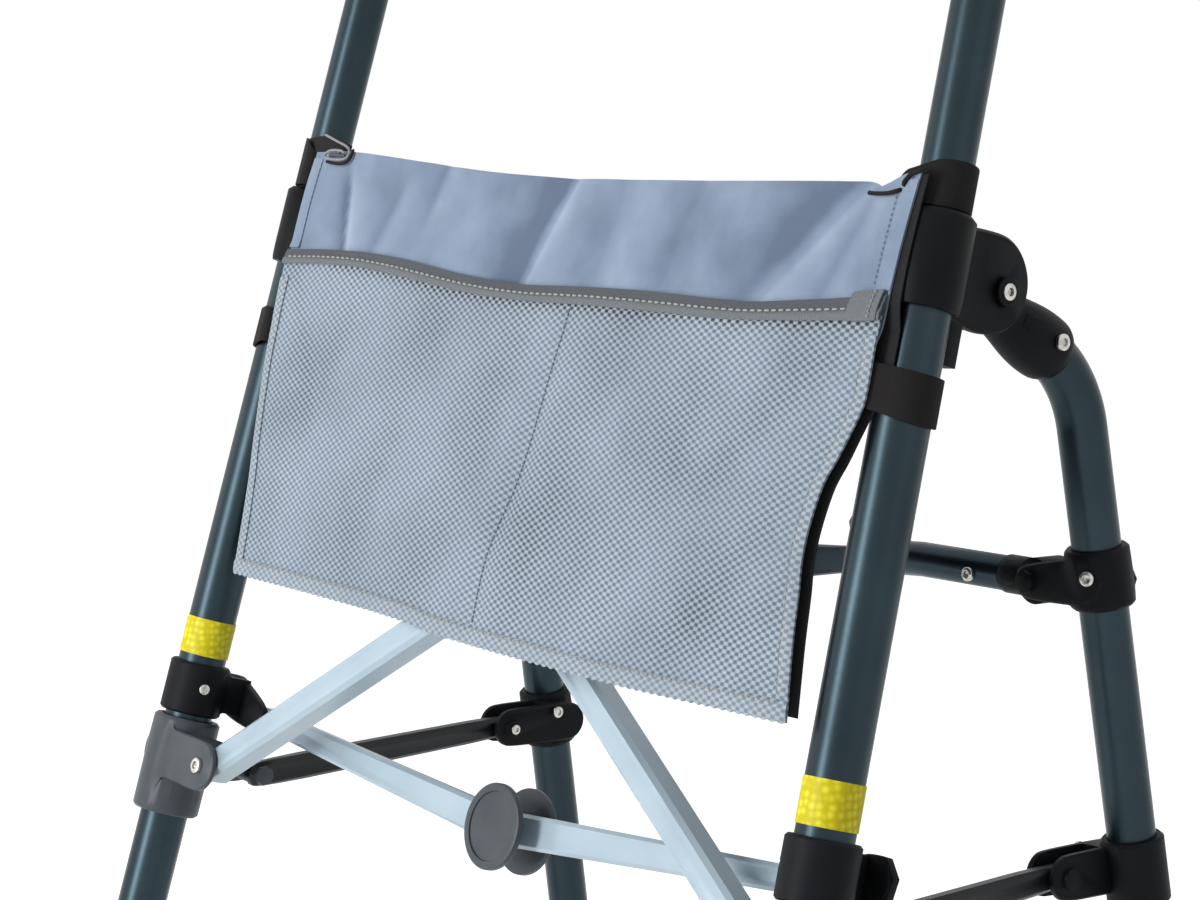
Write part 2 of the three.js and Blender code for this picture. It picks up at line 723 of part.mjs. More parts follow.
function sideBraceBracket(side) {
  const slotNear = braceInset - braceThickness / 2 - slideGap;
  const slotFar = braceInset + braceThickness / 2 + slideGap;
  const near = slotNear - cheekThickness;
  const far = slotFar + cheekThickness;
  const housing = crossPlate(
    belt(rearLine(braceRearUp), braceRearUp, rearBracketRadius * coreShare, braceRearBack, braceRearUp,
      braceLobeRadius, headSteps),
    -side * near, -side * far, plateEdge);
  const disc = arc(braceRearBack, braceRearUp, braceSlotRadius, 0, 2 * Math.PI, roundSteps).slice(0, -1);
  const slot = crossPlate(disc, -side * slotNear, -side * slotFar);
  const stub = (from, to) => sideways(braceRearBack, braceRearUp, -side * from, -side * to, pivotHeadRadius,
    discSides);
  return cut(join(
    rearSleeve(side, braceRearUp, rearBracketLength + bracketWall), housing,
    stub(near - pivotHeadHeight, slotNear - plateEdge), stub(slotFar + plateEdge, far + pivotHeadHeight),
  ), rearBore(side, braceRearUp, rearBracketLength * 2), slot);
}

function rearLockBracket(side) {
  const x = -side * (rearInset + rearLockReach);
  const inner = knuckleEyeWidth / 2 + 2 * seatGap;
  const outer = inner + cheekThickness + plateEdge;
  const cheek = belt(-side * rearInset, rearLockUp / 2, rearBracketRadius * coreShare, x, rearLockUp,
    lugRadius + plateEdge);
  const cheeks = join(
    facePlate(cheek, rearSetback - outer, rearSetback - inner, plateEdge),
    facePlate(cheek, rearSetback + inner, rearSetback + outer, plateEdge));
  const reach = outer + pivotHeadHeight;
  const across = (from, to, radius) => endways(x, rearLockUp, rearSetback + from, rearSetback + to, radius);
  const pin = across(-reach, reach, pivotPinRadius);
  const heads = join(
    across(-reach, plateEdge - outer, pivotHeadRadius), across(outer - plateEdge, reach, pivotHeadRadius));
  return cut(join(rearSleeve(side, 0, rearBracketLength), cheeks, pin, heads),
    rearBore(side, 0, rearBracketLength * 2));
}

// Bars. Each is drawn in its own layer of the frame that carries it.

function sideBrace(side) {
  const from = toUpright(bracePivotBack, bracePivotLevel);
  const radius = braceHeight / 2;
  const bar = crossPlate(belt(from.back, from.up, radius, braceRearBack, braceRearUp, lugRadius - slideGap),
    -side * (braceInset - braceThickness / 2), -side * (braceInset + braceThickness / 2), braceEdge);
  const hole = sideways(from.back, from.up, -side * braceInset * 2, 0, pivotPinRadius + slideGap / 2);
  return cut(bar, hole);
}

const toUpright = (back, up) => ({
  back: back * Math.cos(frontLean) + up * Math.sin(frontLean),
  up: -back * Math.sin(frontLean) + up * Math.cos(frontLean),
});

function crossBar(side) {
  const barFront = side > 0 ? crossBarFront : crossBarMiddle + crossBarGap;
  const barBack = barFront + crossBarSize;
  const radius = crossBarSize / 2;
  const hole = (x, z) => endways(x, z, barFront - cutOverrun, barBack + cutOverrun,
    pivotPinRadius + runningGap);
  const bar = facePlate(
    belt(side * upperHalf, upperLevel, radius, -side * sliderHalf, crossSliderLevel, radius),
    barFront, barBack, crossBarEdge);
  return cut(bar, hole(side * upperHalf, upperLevel), hole(-side * sliderHalf, crossSliderLevel),
    hole(0, -crossDrop));
}

function crossPivot() {
  const near = crossBarFront - seatGap;
  const far = crossBarBack + seatGap;
  const across = (from, to, radius, sides) => endways(0, -crossDrop, from, to, radius, sides);
  return join(
    across(near - pivotHeadHeight, far + pivotHeadHeight, pivotPinRadius),
    across(near - pivotHeadHeight, near, pivotHeadRadius, discSides),
    across(crossBarMiddle + seatGap, crossBarMiddle + crossBarGap - seatGap, pivotHeadRadius + plateEdge),
    across(far, far + pivotHeadHeight, pivotHeadRadius, nutSides));
}

// The two front lock bars lie one behind the other, so that their hub ends pass.
const frontLockStart = crossBarBack + seatGap + pivotHeadHeight + seatGap + frontHubCapHeight;
function frontLockLayer(side) {
  const layerFront = side > 0 ? frontLockStart + frontLockDepth + frontLockGap : frontLockStart;
  return { front: layerFront, back: layerFront + frontLockDepth };
}

const frontLockPivot = (side) => at(
  side * (legSpacing / 2 - frontLockInset * Math.cos(legSplay) - frontLockLevel * Math.sin(legSplay)), 0,
  frontLockLevel * Math.cos(legSplay) - frontLockInset * Math.sin(legSplay));

function frontLockBar(side) {
  const layer = frontLockLayer(side);
  const pivot = frontLockPivot(side);
  const radius = frontLockWidth / 2;
  const bar = facePlate(belt(pivot.x, pivot.z, radius, 0, frontLockLevel - frontLockSag, frontLockEndRadius),
    layer.front, layer.back, frontLockEdge);
  return cut(bar, endways(pivot.x, pivot.z, layer.front - cutOverrun, layer.back + cutOverrun,
    pivotPinRadius + runningGap));
}

function frontHub(side) {
  const layer = frontLockLayer(side);
  const level = frontLockLevel - frontLockSag;
  const base = side > 0 ? layer.back + seatGap : layer.front - seatGap;
  const way = at(0, side, 0);
  const rimWidth = frontHubRadius / 5;
  const height = frontHubCapHeight;
  const sink = height / 3;
  return turned([
    point(0, 0), point(frontHubRadius, 0), point(frontHubRadius, height - sink / 2),
    point(frontHubRadius - sink, height), point(frontHubRadius - rimWidth, height),
    point(frontHubRadius - rimWidth, height - sink), point(0, height - sink),
  ], at(0, base, level), way, sleeveSides);
}

// Rear lock strut, in a frame at its pivot with x across the walker and y along it

function rearLockKnuckle(side) {
  const eye = endways(0, 0, -knuckleEyeWidth / 2, knuckleEyeWidth / 2, knuckleEyeRadius, discSides);
  const inward = (distance) => -side * distance;
  const insert = rearLockDiameter / 2 - rearLockWall - seatGap;
  const barrel = turned([
    point(0, 0), point(knuckleBarrelRadius - plateEdge, 0), point(knuckleBarrelRadius, knuckleEyeRadius),
    point(knuckleBarrelRadius, knuckleReach - plateEdge),
    point(knuckleBarrelRadius - plateEdge, knuckleReach),
    point(insert, knuckleReach), point(insert, knuckleReach + knuckleInsert - plateEdge),
    point(insert - plateEdge, knuckleReach + knuckleInsert),
    point(0, knuckleReach + knuckleInsert),
  ], at(0, 0, 0), at(inward(1), 0, 0), discSides);
  const flanks = box(-knuckleEyeRadius, knuckleEyeRadius, -knuckleEyeRadius * 2, knuckleEyeRadius * 2,
    -knuckleEyeRadius * 2, knuckleEyeRadius * 2);
  const core = box(-knuckleEyeRadius, knuckleEyeRadius, -knuckleEyeWidth / 2, knuckleEyeWidth / 2,
    -knuckleEyeRadius * 2, knuckleEyeRadius * 2);
  const hole = endways(0, 0, -knuckleEyeWidth, knuckleEyeWidth, pivotPinRadius + 2 * runningGap);
  const shaved = cut(barrel, cut(flanks, core));
  return cut(join(eye, shaved), hole);
}

function rearLockBar(side, reach) {
  const inward = (distance) => -side * distance;
  const radius = rearLockDiameter / 2;
  const sag = -rearLockSag;
  const tubeEnd = reach - rearLockTabLength;
  const slope = sag / (reach - rearLockBendAt);
  const path = [
    at(inward(knuckleReach + seatGap), 0, 0), at(inward(rearLockBendAt - rearLockBendHalf), 0, 0),
    at(inward(rearLockBendAt), 0, slope * rearLockBendHalf / 2),
    at(inward(rearLockBendAt + rearLockBendHalf), 0, slope * rearLockBendHalf),
    at(inward(tubeEnd), 0, slope * (tubeEnd - rearLockBendAt)),
  ];
  const bore = sideways(0, 0, 0, inward(knuckleReach + knuckleInsert + cutOverrun), radius - rearLockWall,
    discSides);
  const shell = cut(tube(path, radius, 0), bore);
  const tabFront = side > 0 ? -rearLockTabThickness - seatGap : seatGap;
  const fall = (along) => slope * (along - rearLockBendAt);
  const slim = radius * coreShare;
  const tab = facePlate(belt(inward(tubeEnd - radius), fall(tubeEnd - radius), slim, inward(reach), sag,
    rearHubRadius * coreShare), tabFront, tabFront + rearLockTabThickness, plateEdge);
  const nose = facePlate(belt(inward(tubeEnd - 2 * radius), fall(tubeEnd - 2 * radius), slim,
    inward(tubeEnd + radius), fall(tubeEnd + radius), slim), tabFront, tabFront + rearLockTabThickness);
  return join(shell, tab, nose);
}

function rearHub(side, reach) {
  const base = side > 0 ? -rearLockTabThickness - 2 * seatGap : rearLockTabThickness + 2 * seatGap;
  return turned([
    point(0, 0), point(rearHubRadius, 0), point(rearHubRadius, frontHubCapHeight / 2),
    point(rearHubRadius - frontHubCapHeight / 2, frontHubCapHeight), point(0, frontHubCapHeight),
  ], at(-side * reach, base, -rearLockSag), at(0, -side, 0), discSides);
}

// Handle

function handlePath() {
  const startUp = handleHeight - handleBendRadius * (1 - Math.sin(frontLean));
  const start = point(startUp * Math.tan(frontLean), startUp);
  const centre = point(start.x + handleBendRadius * Math.cos(frontLean),
    start.y - handleBendRadius * Math.sin(frontLean));
  const bend = arc(centre.x, centre.y, handleBendRadius, Math.PI - frontLean, Math.PI / 2, bendSteps);
  const low = point(handleFoot * Math.sin(frontLean), handleFoot * Math.cos(frontLean));
  const end = point(centre.x + handleReach, handleHeight);
  return [low, ...bend, end].map((p) => at(0, p.x, p.y));
}

function handleTube(side) {
  const path = handlePath();
  const along = path[1].clone().sub(path[0]);
  const foot = path[0].clone().addScaledVector(along, -cutOverrun / along.length());
  const bore = rod(foot, path[1], handleBore / 2, tubeSides);
  const level = toUpright(0, buttonLevel);
  const hole = sideways(level.back, level.up, 0, -side * (handleRadius + cutOverrun),
    buttonRadius + runningGap);
  return cut(tube(path, handleRadius, 0), bore, hole);
}

function handleGrip() {
  const path = handlePath();
  const end = path[path.length - 1];
  const start = end.y - gripLength + gripEnd;
  const outline = Array.from({ length: gripSides }, (_, i) => {
    const angle = 2 * Math.PI * i / gripSides;
    const flute = angle > Math.PI ? gripFluteDepth * Math.max(0, Math.cos(angle * gripFlutes * 2)) / 2 : 0;
    return point((gripRadius - flute) * Math.cos(angle), (gripRadius - flute) * Math.sin(angle));
  });
  const barrel = facePlate(outline, start, end.y + gripEnd, ovalEdge).translate([0, 0, end.z]);
  const collar = turned([
    point(0, 0), point(gripRadius + cheekEdge, 0), point(gripRadius + ovalEdge, cheekEdge),
    point(gripRadius + cheekEdge, gripEnd), point(0, gripEnd),
  ], at(0, start + plateEdge, end.z), at(0, 1, 0), sleeveSides);
  const bore = endways(0, end.z, start - cutOverrun, end.y + seatGap, handleRadius + seatGap, tubeSides);
  return cut(join(barrel, collar), bore);
}

function snapButton(side) {
  const inward = (distance) => -side * distance;
  const inner = handleBore / 2 - seatGap;
  const shoulder = legRadius + buttonProud - plateEdge;
  const stem = sideways(0, buttonLevel, inward(inner - springThickness / 2), inward(shoulder), buttonRadius);
  const dome = sideways(0, buttonLevel, inward(shoulder), inward(shoulder + plateEdge),
    buttonRadius - plateEdge);
  const leaf = box(inward(inner - springThickness), inward(inner), -springWidth / 2, springWidth / 2,
    buttonLevel - springLength, buttonLevel + springWidth / 2);
  const trimmed = leaf.intersect(upright(0, 0, -crossLevel, crossLevel, inner, tubeSides));
  return join(stem, dome, trimmed);
}

// Bag, in the leaning front frame. It hangs on the straps, in front of the tubes.

function bagHalf(level) {
  return bagBottomHalf + (bagTopHalf - bagBottomHalf) * (level - bagBottom) / (bagTop - bagBottom);
}

function bagOutline(top, dip, inset, low = bagBottom) {
  const right = bagHalf(top) - inset;
  const lower = bagHalf(low) - inset;
  const bottom = low + inset;
  const rim = Array.from({ length: bagRimSteps + 1 }, (_, i) => {
    const share = 1 - 2 * i / bagRimSteps;
    return point(right * share, top - dip * (1 - share * share));
  });
  return [
    ...rim,
    ...arc(-lower + bagCorner, bottom + bagCorner, bagCorner, Math.PI, 1.5 * Math.PI, beltSteps),
    ...arc(lower - bagCorner, bottom + bagCorner, bagCorner, 1.5 * Math.PI, 2 * Math.PI, beltSteps),
  ];
}

// An open-topped tray: a front wall, with a rim at its two sides and its bottom.
function pouch(top, dip, back, depth, wall) {
  const face = back - depth;
  const outer = facePlate(bagOutline(top, dip, 0), face, back, wall / 3);
  const inner = facePlate(bagOutline(top + bagSeam + cutOverrun, dip, bagSeam), face + wall,
    back + cutOverrun);
  return cut(outer, inner);
}

const bagFrontBack = bagBack - bagPanel - seatGap;
const pocketBack = bagFrontBack - bagDepth - seatGap;
const trimBack = pocketBack - pocketDepth - seatGap;

function bagTrim() {
  const high = pocketTop + trimHeight / 3;
  const low = high - trimHeight;
  const wide = bagHalf(pocketTop);
  const band = Array.from({ length: bagRimSteps + 1 }, (_, i) => 1 - 2 * i / bagRimSteps)
    .map((share) => point(wide * share, high - bagTopDip * (1 - share * share) / 2));
  const under = band.map((p) => point(p.x, p.y - high + low)).reverse();
  return facePlate([...band, ...under], trimBack - trimDepth, trimBack, trimDepth / 4);
}

const backPanel = facePlate(bagOutline(bagTop, bagTopDip, -bagSeam), bagBack - bagPanel, bagBack,
  bagPanel / 3);
const frontPouch = pouch(bagTop - bagSeam, bagTopDip, bagFrontBack, bagDepth, bagPanel);
const meshPocket = pouch(pocketTop, bagTopDip / 2, pocketBack, pocketDepth, bagPanel);
front.add(piece('bag_back_panel', backPanel, finish.backing));
front.add(piece('bag_front', frontPouch, finish.fabric));
front.add(piece('bag_mesh_pocket', meshPocket, finish.mesh));
front.add(piece('bag_trim_band', bagTrim(), finish.trim));

front.add(piece('cross_bar_front', crossBar(1), finish.bar));
front.add(piece('cross_bar_rear', crossBar(-1), finish.bar));
front.add(piece('cross_pivot_bolt', crossPivot(), finish.steel));

for (const [name, side] of [['left', 1], ['right', -1]]) {
  const { leg, frame } = sideGroups(side);
  const axleLevel = (wheelRadius - crossLevel) / (Math.cos(frontLean) * Math.cos(legSplay));

  leg.add(piece(`${name}_front_leg`, legTube(side, axleLevel), finish.leg));
  leg.add(piece(`${name}_leg_plug`, legPlug(side), finish.housing));
  leg.add(piece(`${name}_hinge_clamp`, hingeClamp(side), finish.housing));
  leg.add(piece(`${name}_hinge_bolt`, hingeBolt(side), finish.steel));
  leg.add(piece(`${name}_upper_bracket`, upperBracket(side), finish.bracket));
  leg.add(piece(`${name}_slider_bracket`, sliderBracket(side), finish.bracket));
  leg.add(piece(`${name}_reflective_band`, reflectiveBand(), finish.reflective));
  leg.add(piece(`${name}_height_button`, snapButton(side), finish.steel));
  const upperStrap = strapRing(handleRadius, upperStrapLow, upperStrapHeight);
  const lowerStrap = strapRing(legRadius, lowerStrapLow, lowerStrapHeight);
  leg.add(piece(`${name}_upper_strap`, upperStrap, finish.webbing));
  leg.add(piece(`${name}_lower_strap`, lowerStrap, finish.webbing));

  const floorInFrame = solid(new THREE.BoxGeometry(crossLevel, crossLevel, crossLevel)
    .translate(side * legSpacing / 2, crossDepth + rearLine(-crossLevel), -crossLevel / 2)
    .applyMatrix4(frame.matrixWorld.clone().invert()));
  frame.add(piece(`${name}_rear_leg`, tube(rearPath(side), rearRadius, 0), finish.leg));
  frame.add(piece(`${name}_rear_socket`, rearSocket(side), finish.housing));
  frame.add(piece(`${name}_rear_tip`, rearTip(side, floorInFrame), finish.rubber));
  frame.add(piece(`${name}_side_brace_bracket`, sideBraceBracket(side), finish.bracket));
  frame.add(piece(`${name}_rear_lock_bracket`, rearLockBracket(side), finish.bracket));
  frame.add(piece(`${name}_side_brace`, sideBrace(side), finish.brace));
  frame.add(piece(`${name}_handle_tube`, handleTube(side), finish.leg));
  frame.add(piece(`${name}_handle_grip`, handleGrip(), finish.grip));

  front.add(piece(`${name}_front_lock_bar`, frontLockBar(side), finish.bar));
  front.add(piece(`${name}_front_lock_hub`, frontHub(side), finish.bracket));

  const wheel = new THREE.Group();
  wheel.position.copy(leg.localToWorld(at(0, 0, axleLevel)));
  walker.add(wheel);
  wheel.add(piece(`${name}_wheel_axle`, wheelAxle(side), finish.steel));
  const roller = new THREE.Group();
  roller.position.x = side * wheelOffset;
  wheel.add(roller);
  roller.add(piece(`${name}_wheel_hub`, wheelHub(), finish.wheel));
  roller.add(piece(`${name}_wheel_tyre`, wheelTyre(), finish.rubber));

  const strut = new THREE.Group();
  strut.position.copy(frame.localToWorld(at(-side * (rearInset + rearLockReach), rearSetback, rearLockUp)));
  walker.add(strut);
  const strutReach = Math.abs(strut.position.x);
  strut.add(piece(`${name}_rear_lock_knuckle`, rearLockKnuckle(side), finish.housing));
  strut.add(piece(`${name}_rear_lock_bar`, rearLockBar(side, strutReach), finish.bar));
  strut.add(piece(`${name}_rear_lock_hub`, rearHub(side, strutReach), finish.steel));
}

export default walker;
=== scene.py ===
"""Looks for the folding walker: finishes for the rigid pieces, and the storage bag with its straps.

Lengths are in metres unless a name ends in _mm. The front faces -Y and the user's left hand is at +X.
"""

import json
import logging
import math
from contextlib import contextmanager
from dataclasses import dataclass, field
from enum import Enum
from typing import Any, Callable, Iterator, Sequence

import bpy
from bpy.types import Material, Node, NodeSocket, NodeTree, Object
from mathutils import Matrix, Vector

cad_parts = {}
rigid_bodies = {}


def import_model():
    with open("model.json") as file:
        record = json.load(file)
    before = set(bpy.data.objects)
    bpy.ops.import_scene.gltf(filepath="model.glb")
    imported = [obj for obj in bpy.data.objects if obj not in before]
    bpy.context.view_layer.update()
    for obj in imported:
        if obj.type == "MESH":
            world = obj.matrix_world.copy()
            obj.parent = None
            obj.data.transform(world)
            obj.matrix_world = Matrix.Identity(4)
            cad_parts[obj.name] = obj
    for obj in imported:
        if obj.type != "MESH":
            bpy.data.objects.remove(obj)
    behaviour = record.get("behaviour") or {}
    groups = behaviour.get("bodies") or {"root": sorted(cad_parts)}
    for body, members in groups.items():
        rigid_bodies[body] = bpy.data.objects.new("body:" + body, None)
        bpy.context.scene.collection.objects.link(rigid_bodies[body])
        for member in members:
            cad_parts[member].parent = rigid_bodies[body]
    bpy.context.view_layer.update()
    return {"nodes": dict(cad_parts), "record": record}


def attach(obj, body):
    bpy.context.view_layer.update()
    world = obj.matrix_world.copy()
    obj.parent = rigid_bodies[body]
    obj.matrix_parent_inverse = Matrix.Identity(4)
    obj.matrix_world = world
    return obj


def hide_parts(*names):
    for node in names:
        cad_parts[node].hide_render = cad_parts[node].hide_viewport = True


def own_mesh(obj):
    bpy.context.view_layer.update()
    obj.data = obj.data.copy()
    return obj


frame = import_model()

log = logging.getLogger("walker")
logging.basicConfig(level=logging.INFO, format="%(name)s: %(message)s")

MM = 0.001


class Side(Enum):
    """Which half of the walker a piece belongs to, seen by its user."""

    LEFT = 1
    RIGHT = -1

    @property
    def word(self) -> str:
        """The word that node and body names start with."""
        return self.name.lower()


@dataclass(frozen=True)
class Stance:
    """Where the legs and their hinges stand, as in the part's source."""

    cross_level: float = 0.510
    leg_spacing: float = 0.548
    lean: float = math.radians(14.47)
    splay: float = math.radians(2.33)
    rear_lean: float = math.radians(10.43)
    rear_setback: float = 0.189
    rear_inset: float = 0.026
    wheel_radius: float = 0.0635
    tip_flare: float = 0.021
    hinge_back: float = 0.095
    hinge_up: float = 0.145
    socket_slope: float = math.radians(29)

    @property
    def cross_depth(self) -> float:
        """How far the cross level point of the front plane lies from the middle, along Y.

        Returns:
            The distance, in metres.
        """
        front = -math.tan(self.lean) * (self.cross_level - self.wheel_radius) - self.wheel_radius
        rear = self.rear_setback + math.tan(self.rear_lean) * self.cross_level + self.tip_flare
        return -(front + rear) / 2

    def front(self) -> Matrix:
        """The leaning plane of the front legs: x across, y back, z up along the plane."""
        return (Matrix.Translation((0, self.cross_depth, self.cross_level))
                @ Matrix.Rotation(-self.lean, 4, "X"))

    def leg(self, side: Side) -> Matrix:
        """A front leg's own frame, with z up its axis."""
        return (self.front() @ Matrix.Translation((side.value * self.leg_spacing / 2, 0, 0))
                @ Matrix.Rotation(-side.value * self.splay, 4, "Y"))

    def upright(self, side: Side) -> Matrix:
        """A side frame, with the front lean taken out."""
        return self.leg(side) @ Matrix.Rotation(self.lean, 4, "X")

    def hinge(self, x: float) -> Vector:
        """The axis of the rear leg's hinge at a place across, in the side frame."""
        return Vector((x, self.hinge_back, self.hinge_up))

    def socket_way(self) -> Vector:
        """The way in which the rear leg leaves its hinge."""
        return Vector((0, math.cos(self.socket_slope), -math.sin(self.socket_slope)))


STANCE = Stance()


# Node and mesh helpers


def linear(code: str) -> tuple[float, float, float, float]:
    """Turns an sRGB hex colour into the linear values that a shader reads.

    Args:
        code: The colour, such as "8a97a9".

    Returns:
        Red, green, blue and an alpha of one.
    """
    parts = [int(code[i:i + 2], 16) / 255 for i in (0, 2, 4)]
    return tuple(c / 12.92 if c <= 0.04045 else ((c + 0.055) / 1.055) ** 2.4 for c in parts) + (1.0,)


def add_node(tree: NodeTree, kind: str, inputs: dict | None = None, **settings) -> Node:
    """Adds a node with its settings, its values and the links into it.

    Args:
        tree: The material's or world's node tree.
        kind: The node's type name.
        inputs: Socket name or number, to a value or to the socket that feeds it.
        **settings: Attributes of the node itself.

    Returns:
        The new node.
    """
    made = tree.nodes.new(kind)
    for key, value in settings.items():
        setattr(made, key, value)
    for key, value in (inputs or {}).items():
        if isinstance(value, NodeSocket):
            tree.links.new(value, made.inputs[key])
        else:
            made.inputs[key].default_value = value
    return made


def fill_ramp(ramp: Node, stops: Sequence[tuple[float, str]]) -> NodeSocket:
    """Sets a colour ramp's stops.

    Args:
        ramp: The ramp's node.
        stops: A place and a hex colour for each.

    Returns:
        The socket that its colour comes from.
    """
    elements = ramp.color_ramp.elements
    while len(elements) < len(stops):
        elements.new(0.5)
    for element, (place_of, code) in zip(elements, stops):
        element.position = place_of
        element.color = linear(code)
    return ramp.outputs["Color"]


def start_material(name: str) -> tuple[Material, NodeTree]:
    """Starts an empty material, named for what the real one is.

    Args:
        name: Its common name and how it was made.

    Returns:
        The material and its node tree.
    """
    mat = bpy.data.materials.new(name)
    mat.use_nodes = True
    mat.node_tree.nodes.clear()
    return mat, mat.node_tree


def shade(tree: NodeTree, inputs: dict) -> None:
    """Ends a material with a Principled shader that has these values and links."""
    shader = add_node(tree, "ShaderNodeBsdfPrincipled", inputs)
    add_node(tree, "ShaderNodeOutputMaterial", {"Surface": shader.outputs["BSDF"]})


def waves(tree: NodeTree, where: NodeSocket, pitches_mm: dict[str, float], form: str) -> list[NodeSocket]:
    """Lays a wave over the cloth along each of its axes that is named.

    Args:
        tree: The material's node tree.
        where: The place on the cloth, in metres.
        pitches_mm: Each axis, with the distance from one wave to the next.
        form: SINE or COSINE.

    Returns:
        The height of each wave, from -1 to 1.
    """
    apart = add_node(tree, "ShaderNodeSeparateXYZ", {"Vector": where})
    heights = []
    for axis, pitch in pitches_mm.items():
        turns = add_node(tree, "ShaderNodeMath", {
            0: apart.outputs[axis], 1: math.tau / (pitch * MM)}, operation="MULTIPLY")
        heights.append(add_node(tree, "ShaderNodeMath", {0: turns.outputs[0]}, operation=form).outputs[0])
    return heights


def select_only(*objects: Object) -> None:
    """Selects these objects alone, and makes the last one active.

    Args:
        *objects: The objects, none to deselect all.
    """
    for other in bpy.context.view_layer.objects:
        other.select_set(False)
    for item in objects:
        item.select_set(True)
    bpy.context.view_layer.objects.active = objects[-1] if objects else None


@contextmanager
def editing(piece: Object, chosen: str = "SELECT") -> Iterator[None]:
    """Opens a piece in edit mode with all of it selected, or none with DESELECT, and closes it again.

    Args:
        piece: The object.
        chosen: SELECT or DESELECT.

    Yields:
        Nothing, with the piece open.
    """
    select_only(piece)
    bpy.ops.object.mode_set(mode="EDIT")
    bpy.ops.mesh.select_all(action=chosen)
    yield
    bpy.ops.object.mode_set(mode="OBJECT")


def name_piece(name: str) -> Object:
    """Names the primitive or copy that was just made, and its mesh.

    Args:
        name: The piece's name.

    Returns:
        The piece.
    """
    piece = bpy.context.view_layer.objects.active
    piece.name = name
    piece.data.name = name
    return piece


def settle(piece: Object) -> Object:
    """Puts the object's place and turn into its mesh.

    Args:
        piece: The object.

    Returns:
        The same object.
    """
    select_only(piece)
    bpy.ops.object.transform_apply(location=True, rotation=True, scale=True)
    return piece


def place(piece: Object, matrix: Matrix) -> Object:
    """Moves a piece made at the origin to a frame, in its mesh."""
    piece.matrix_world = matrix @ piece.matrix_world
    return settle(piece)


def finish_with(piece: Object, kind: str, **settings) -> Object:
    """Adds one modifier and applies it.

    Args:
        piece: The object.
        kind: The modifier's type.
        **settings: Its attributes.

    Returns:
        The same object.
    """
    select_only(piece)
    bpy.ops.object.modifier_add(type=kind)
    modifier = piece.modifiers[-1]
    for key, value in settings.items():
        setattr(modifier, key, value)
    bpy.ops.object.modifier_apply(modifier=modifier.name)
    return piece


def ease_edges(piece: Object, width: float, degrees: float) -> Object:
    """Rounds the edges that turn by more than an angle."""
    return finish_with(piece, "BEVEL", width=width, segments=2, limit_method="ANGLE",
                       angle_limit=math.radians(degrees))


def smooth(piece: Object, degrees: float) -> Object:
    """Shades faces smoothly where they meet at less than an angle.

    Args:
        piece: The object.
        degrees: The angle.

    Returns:
        The same object.
    """
    select_only(piece)
    bpy.ops.object.shade_smooth_by_angle(angle=math.radians(degrees))
    return piece


def recalculate(piece: Object, merge: float = 1e-5) -> Object:
    """Merges doubles and turns every face outwards.

    Args:
        piece: The object.
        merge: How close two vertices lie that are merged.

    Returns:
        The same object.
    """
    with editing(piece):
        bpy.ops.mesh.remove_doubles(threshold=merge)
        bpy.ops.mesh.normals_make_consistent(inside=False)
    return piece


def dress(piece: Object, material: Material, slot: str, body: str) -> Object:
    """Gives a piece its material and its body.

    Args:
        piece: The object.
        material: Its material.
        slot: The record's material slot that it belongs to; not used.
        body: The body that carries it.

    Returns:
        The same object.
    """
    piece.data.materials.clear()
    piece.data.materials.append(material)
    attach(piece, body)
    return piece


# Finishes. A count "per metre" is a pattern's scale: 1000 over the size in mm that is given beside it.


@dataclass(frozen=True)
class AnodisedAluminium:
    """Drawn or extruded aluminium, anodised: a satin metal whose die lines blur the light along it."""

    name: str
    colour: str
    dark: str
    roughness: float
    metallic: float
    drifts: float = 14.0  # per metre, 71 mm each
    lines: tuple = (1800.0, 1800.0, 30.0)  # per metre, 0.6 mm across the bar and 33 mm along it

    def material(self) -> Material:
        """Builds the material: slow colour drift, and a roughness that wanders a little.

        Returns:
            The material.
        """
        mat, tree = start_material(self.name)
        where = add_node(tree, "ShaderNodeTexCoord").outputs["Object"]
        drift = add_node(tree, "ShaderNodeTexNoise", {"Vector": where, "Scale": self.drifts, "Detail": 3.0})
        ramp = add_node(tree, "ShaderNodeValToRGB", {"Fac": drift.outputs["Fac"]})
        stretched = add_node(tree, "ShaderNodeMapping", {"Vector": where, "Scale": self.lines})
        lines = add_node(tree, "ShaderNodeTexNoise", {"Vector": stretched.outputs["Vector"], "Scale": 1.0})
        rough = add_node(tree, "ShaderNodeMapRange", {
            "Value": lines.outputs["Fac"],
            "To Min": self.roughness - 0.05, "To Max": self.roughness + 0.08})
        shade(tree, {"Base Color": fill_ramp(ramp, [(0.3, self.dark), (0.7, self.colour)]),
                     "Roughness": rough.outputs["Result"], "Metallic": self.metallic})
        return mat


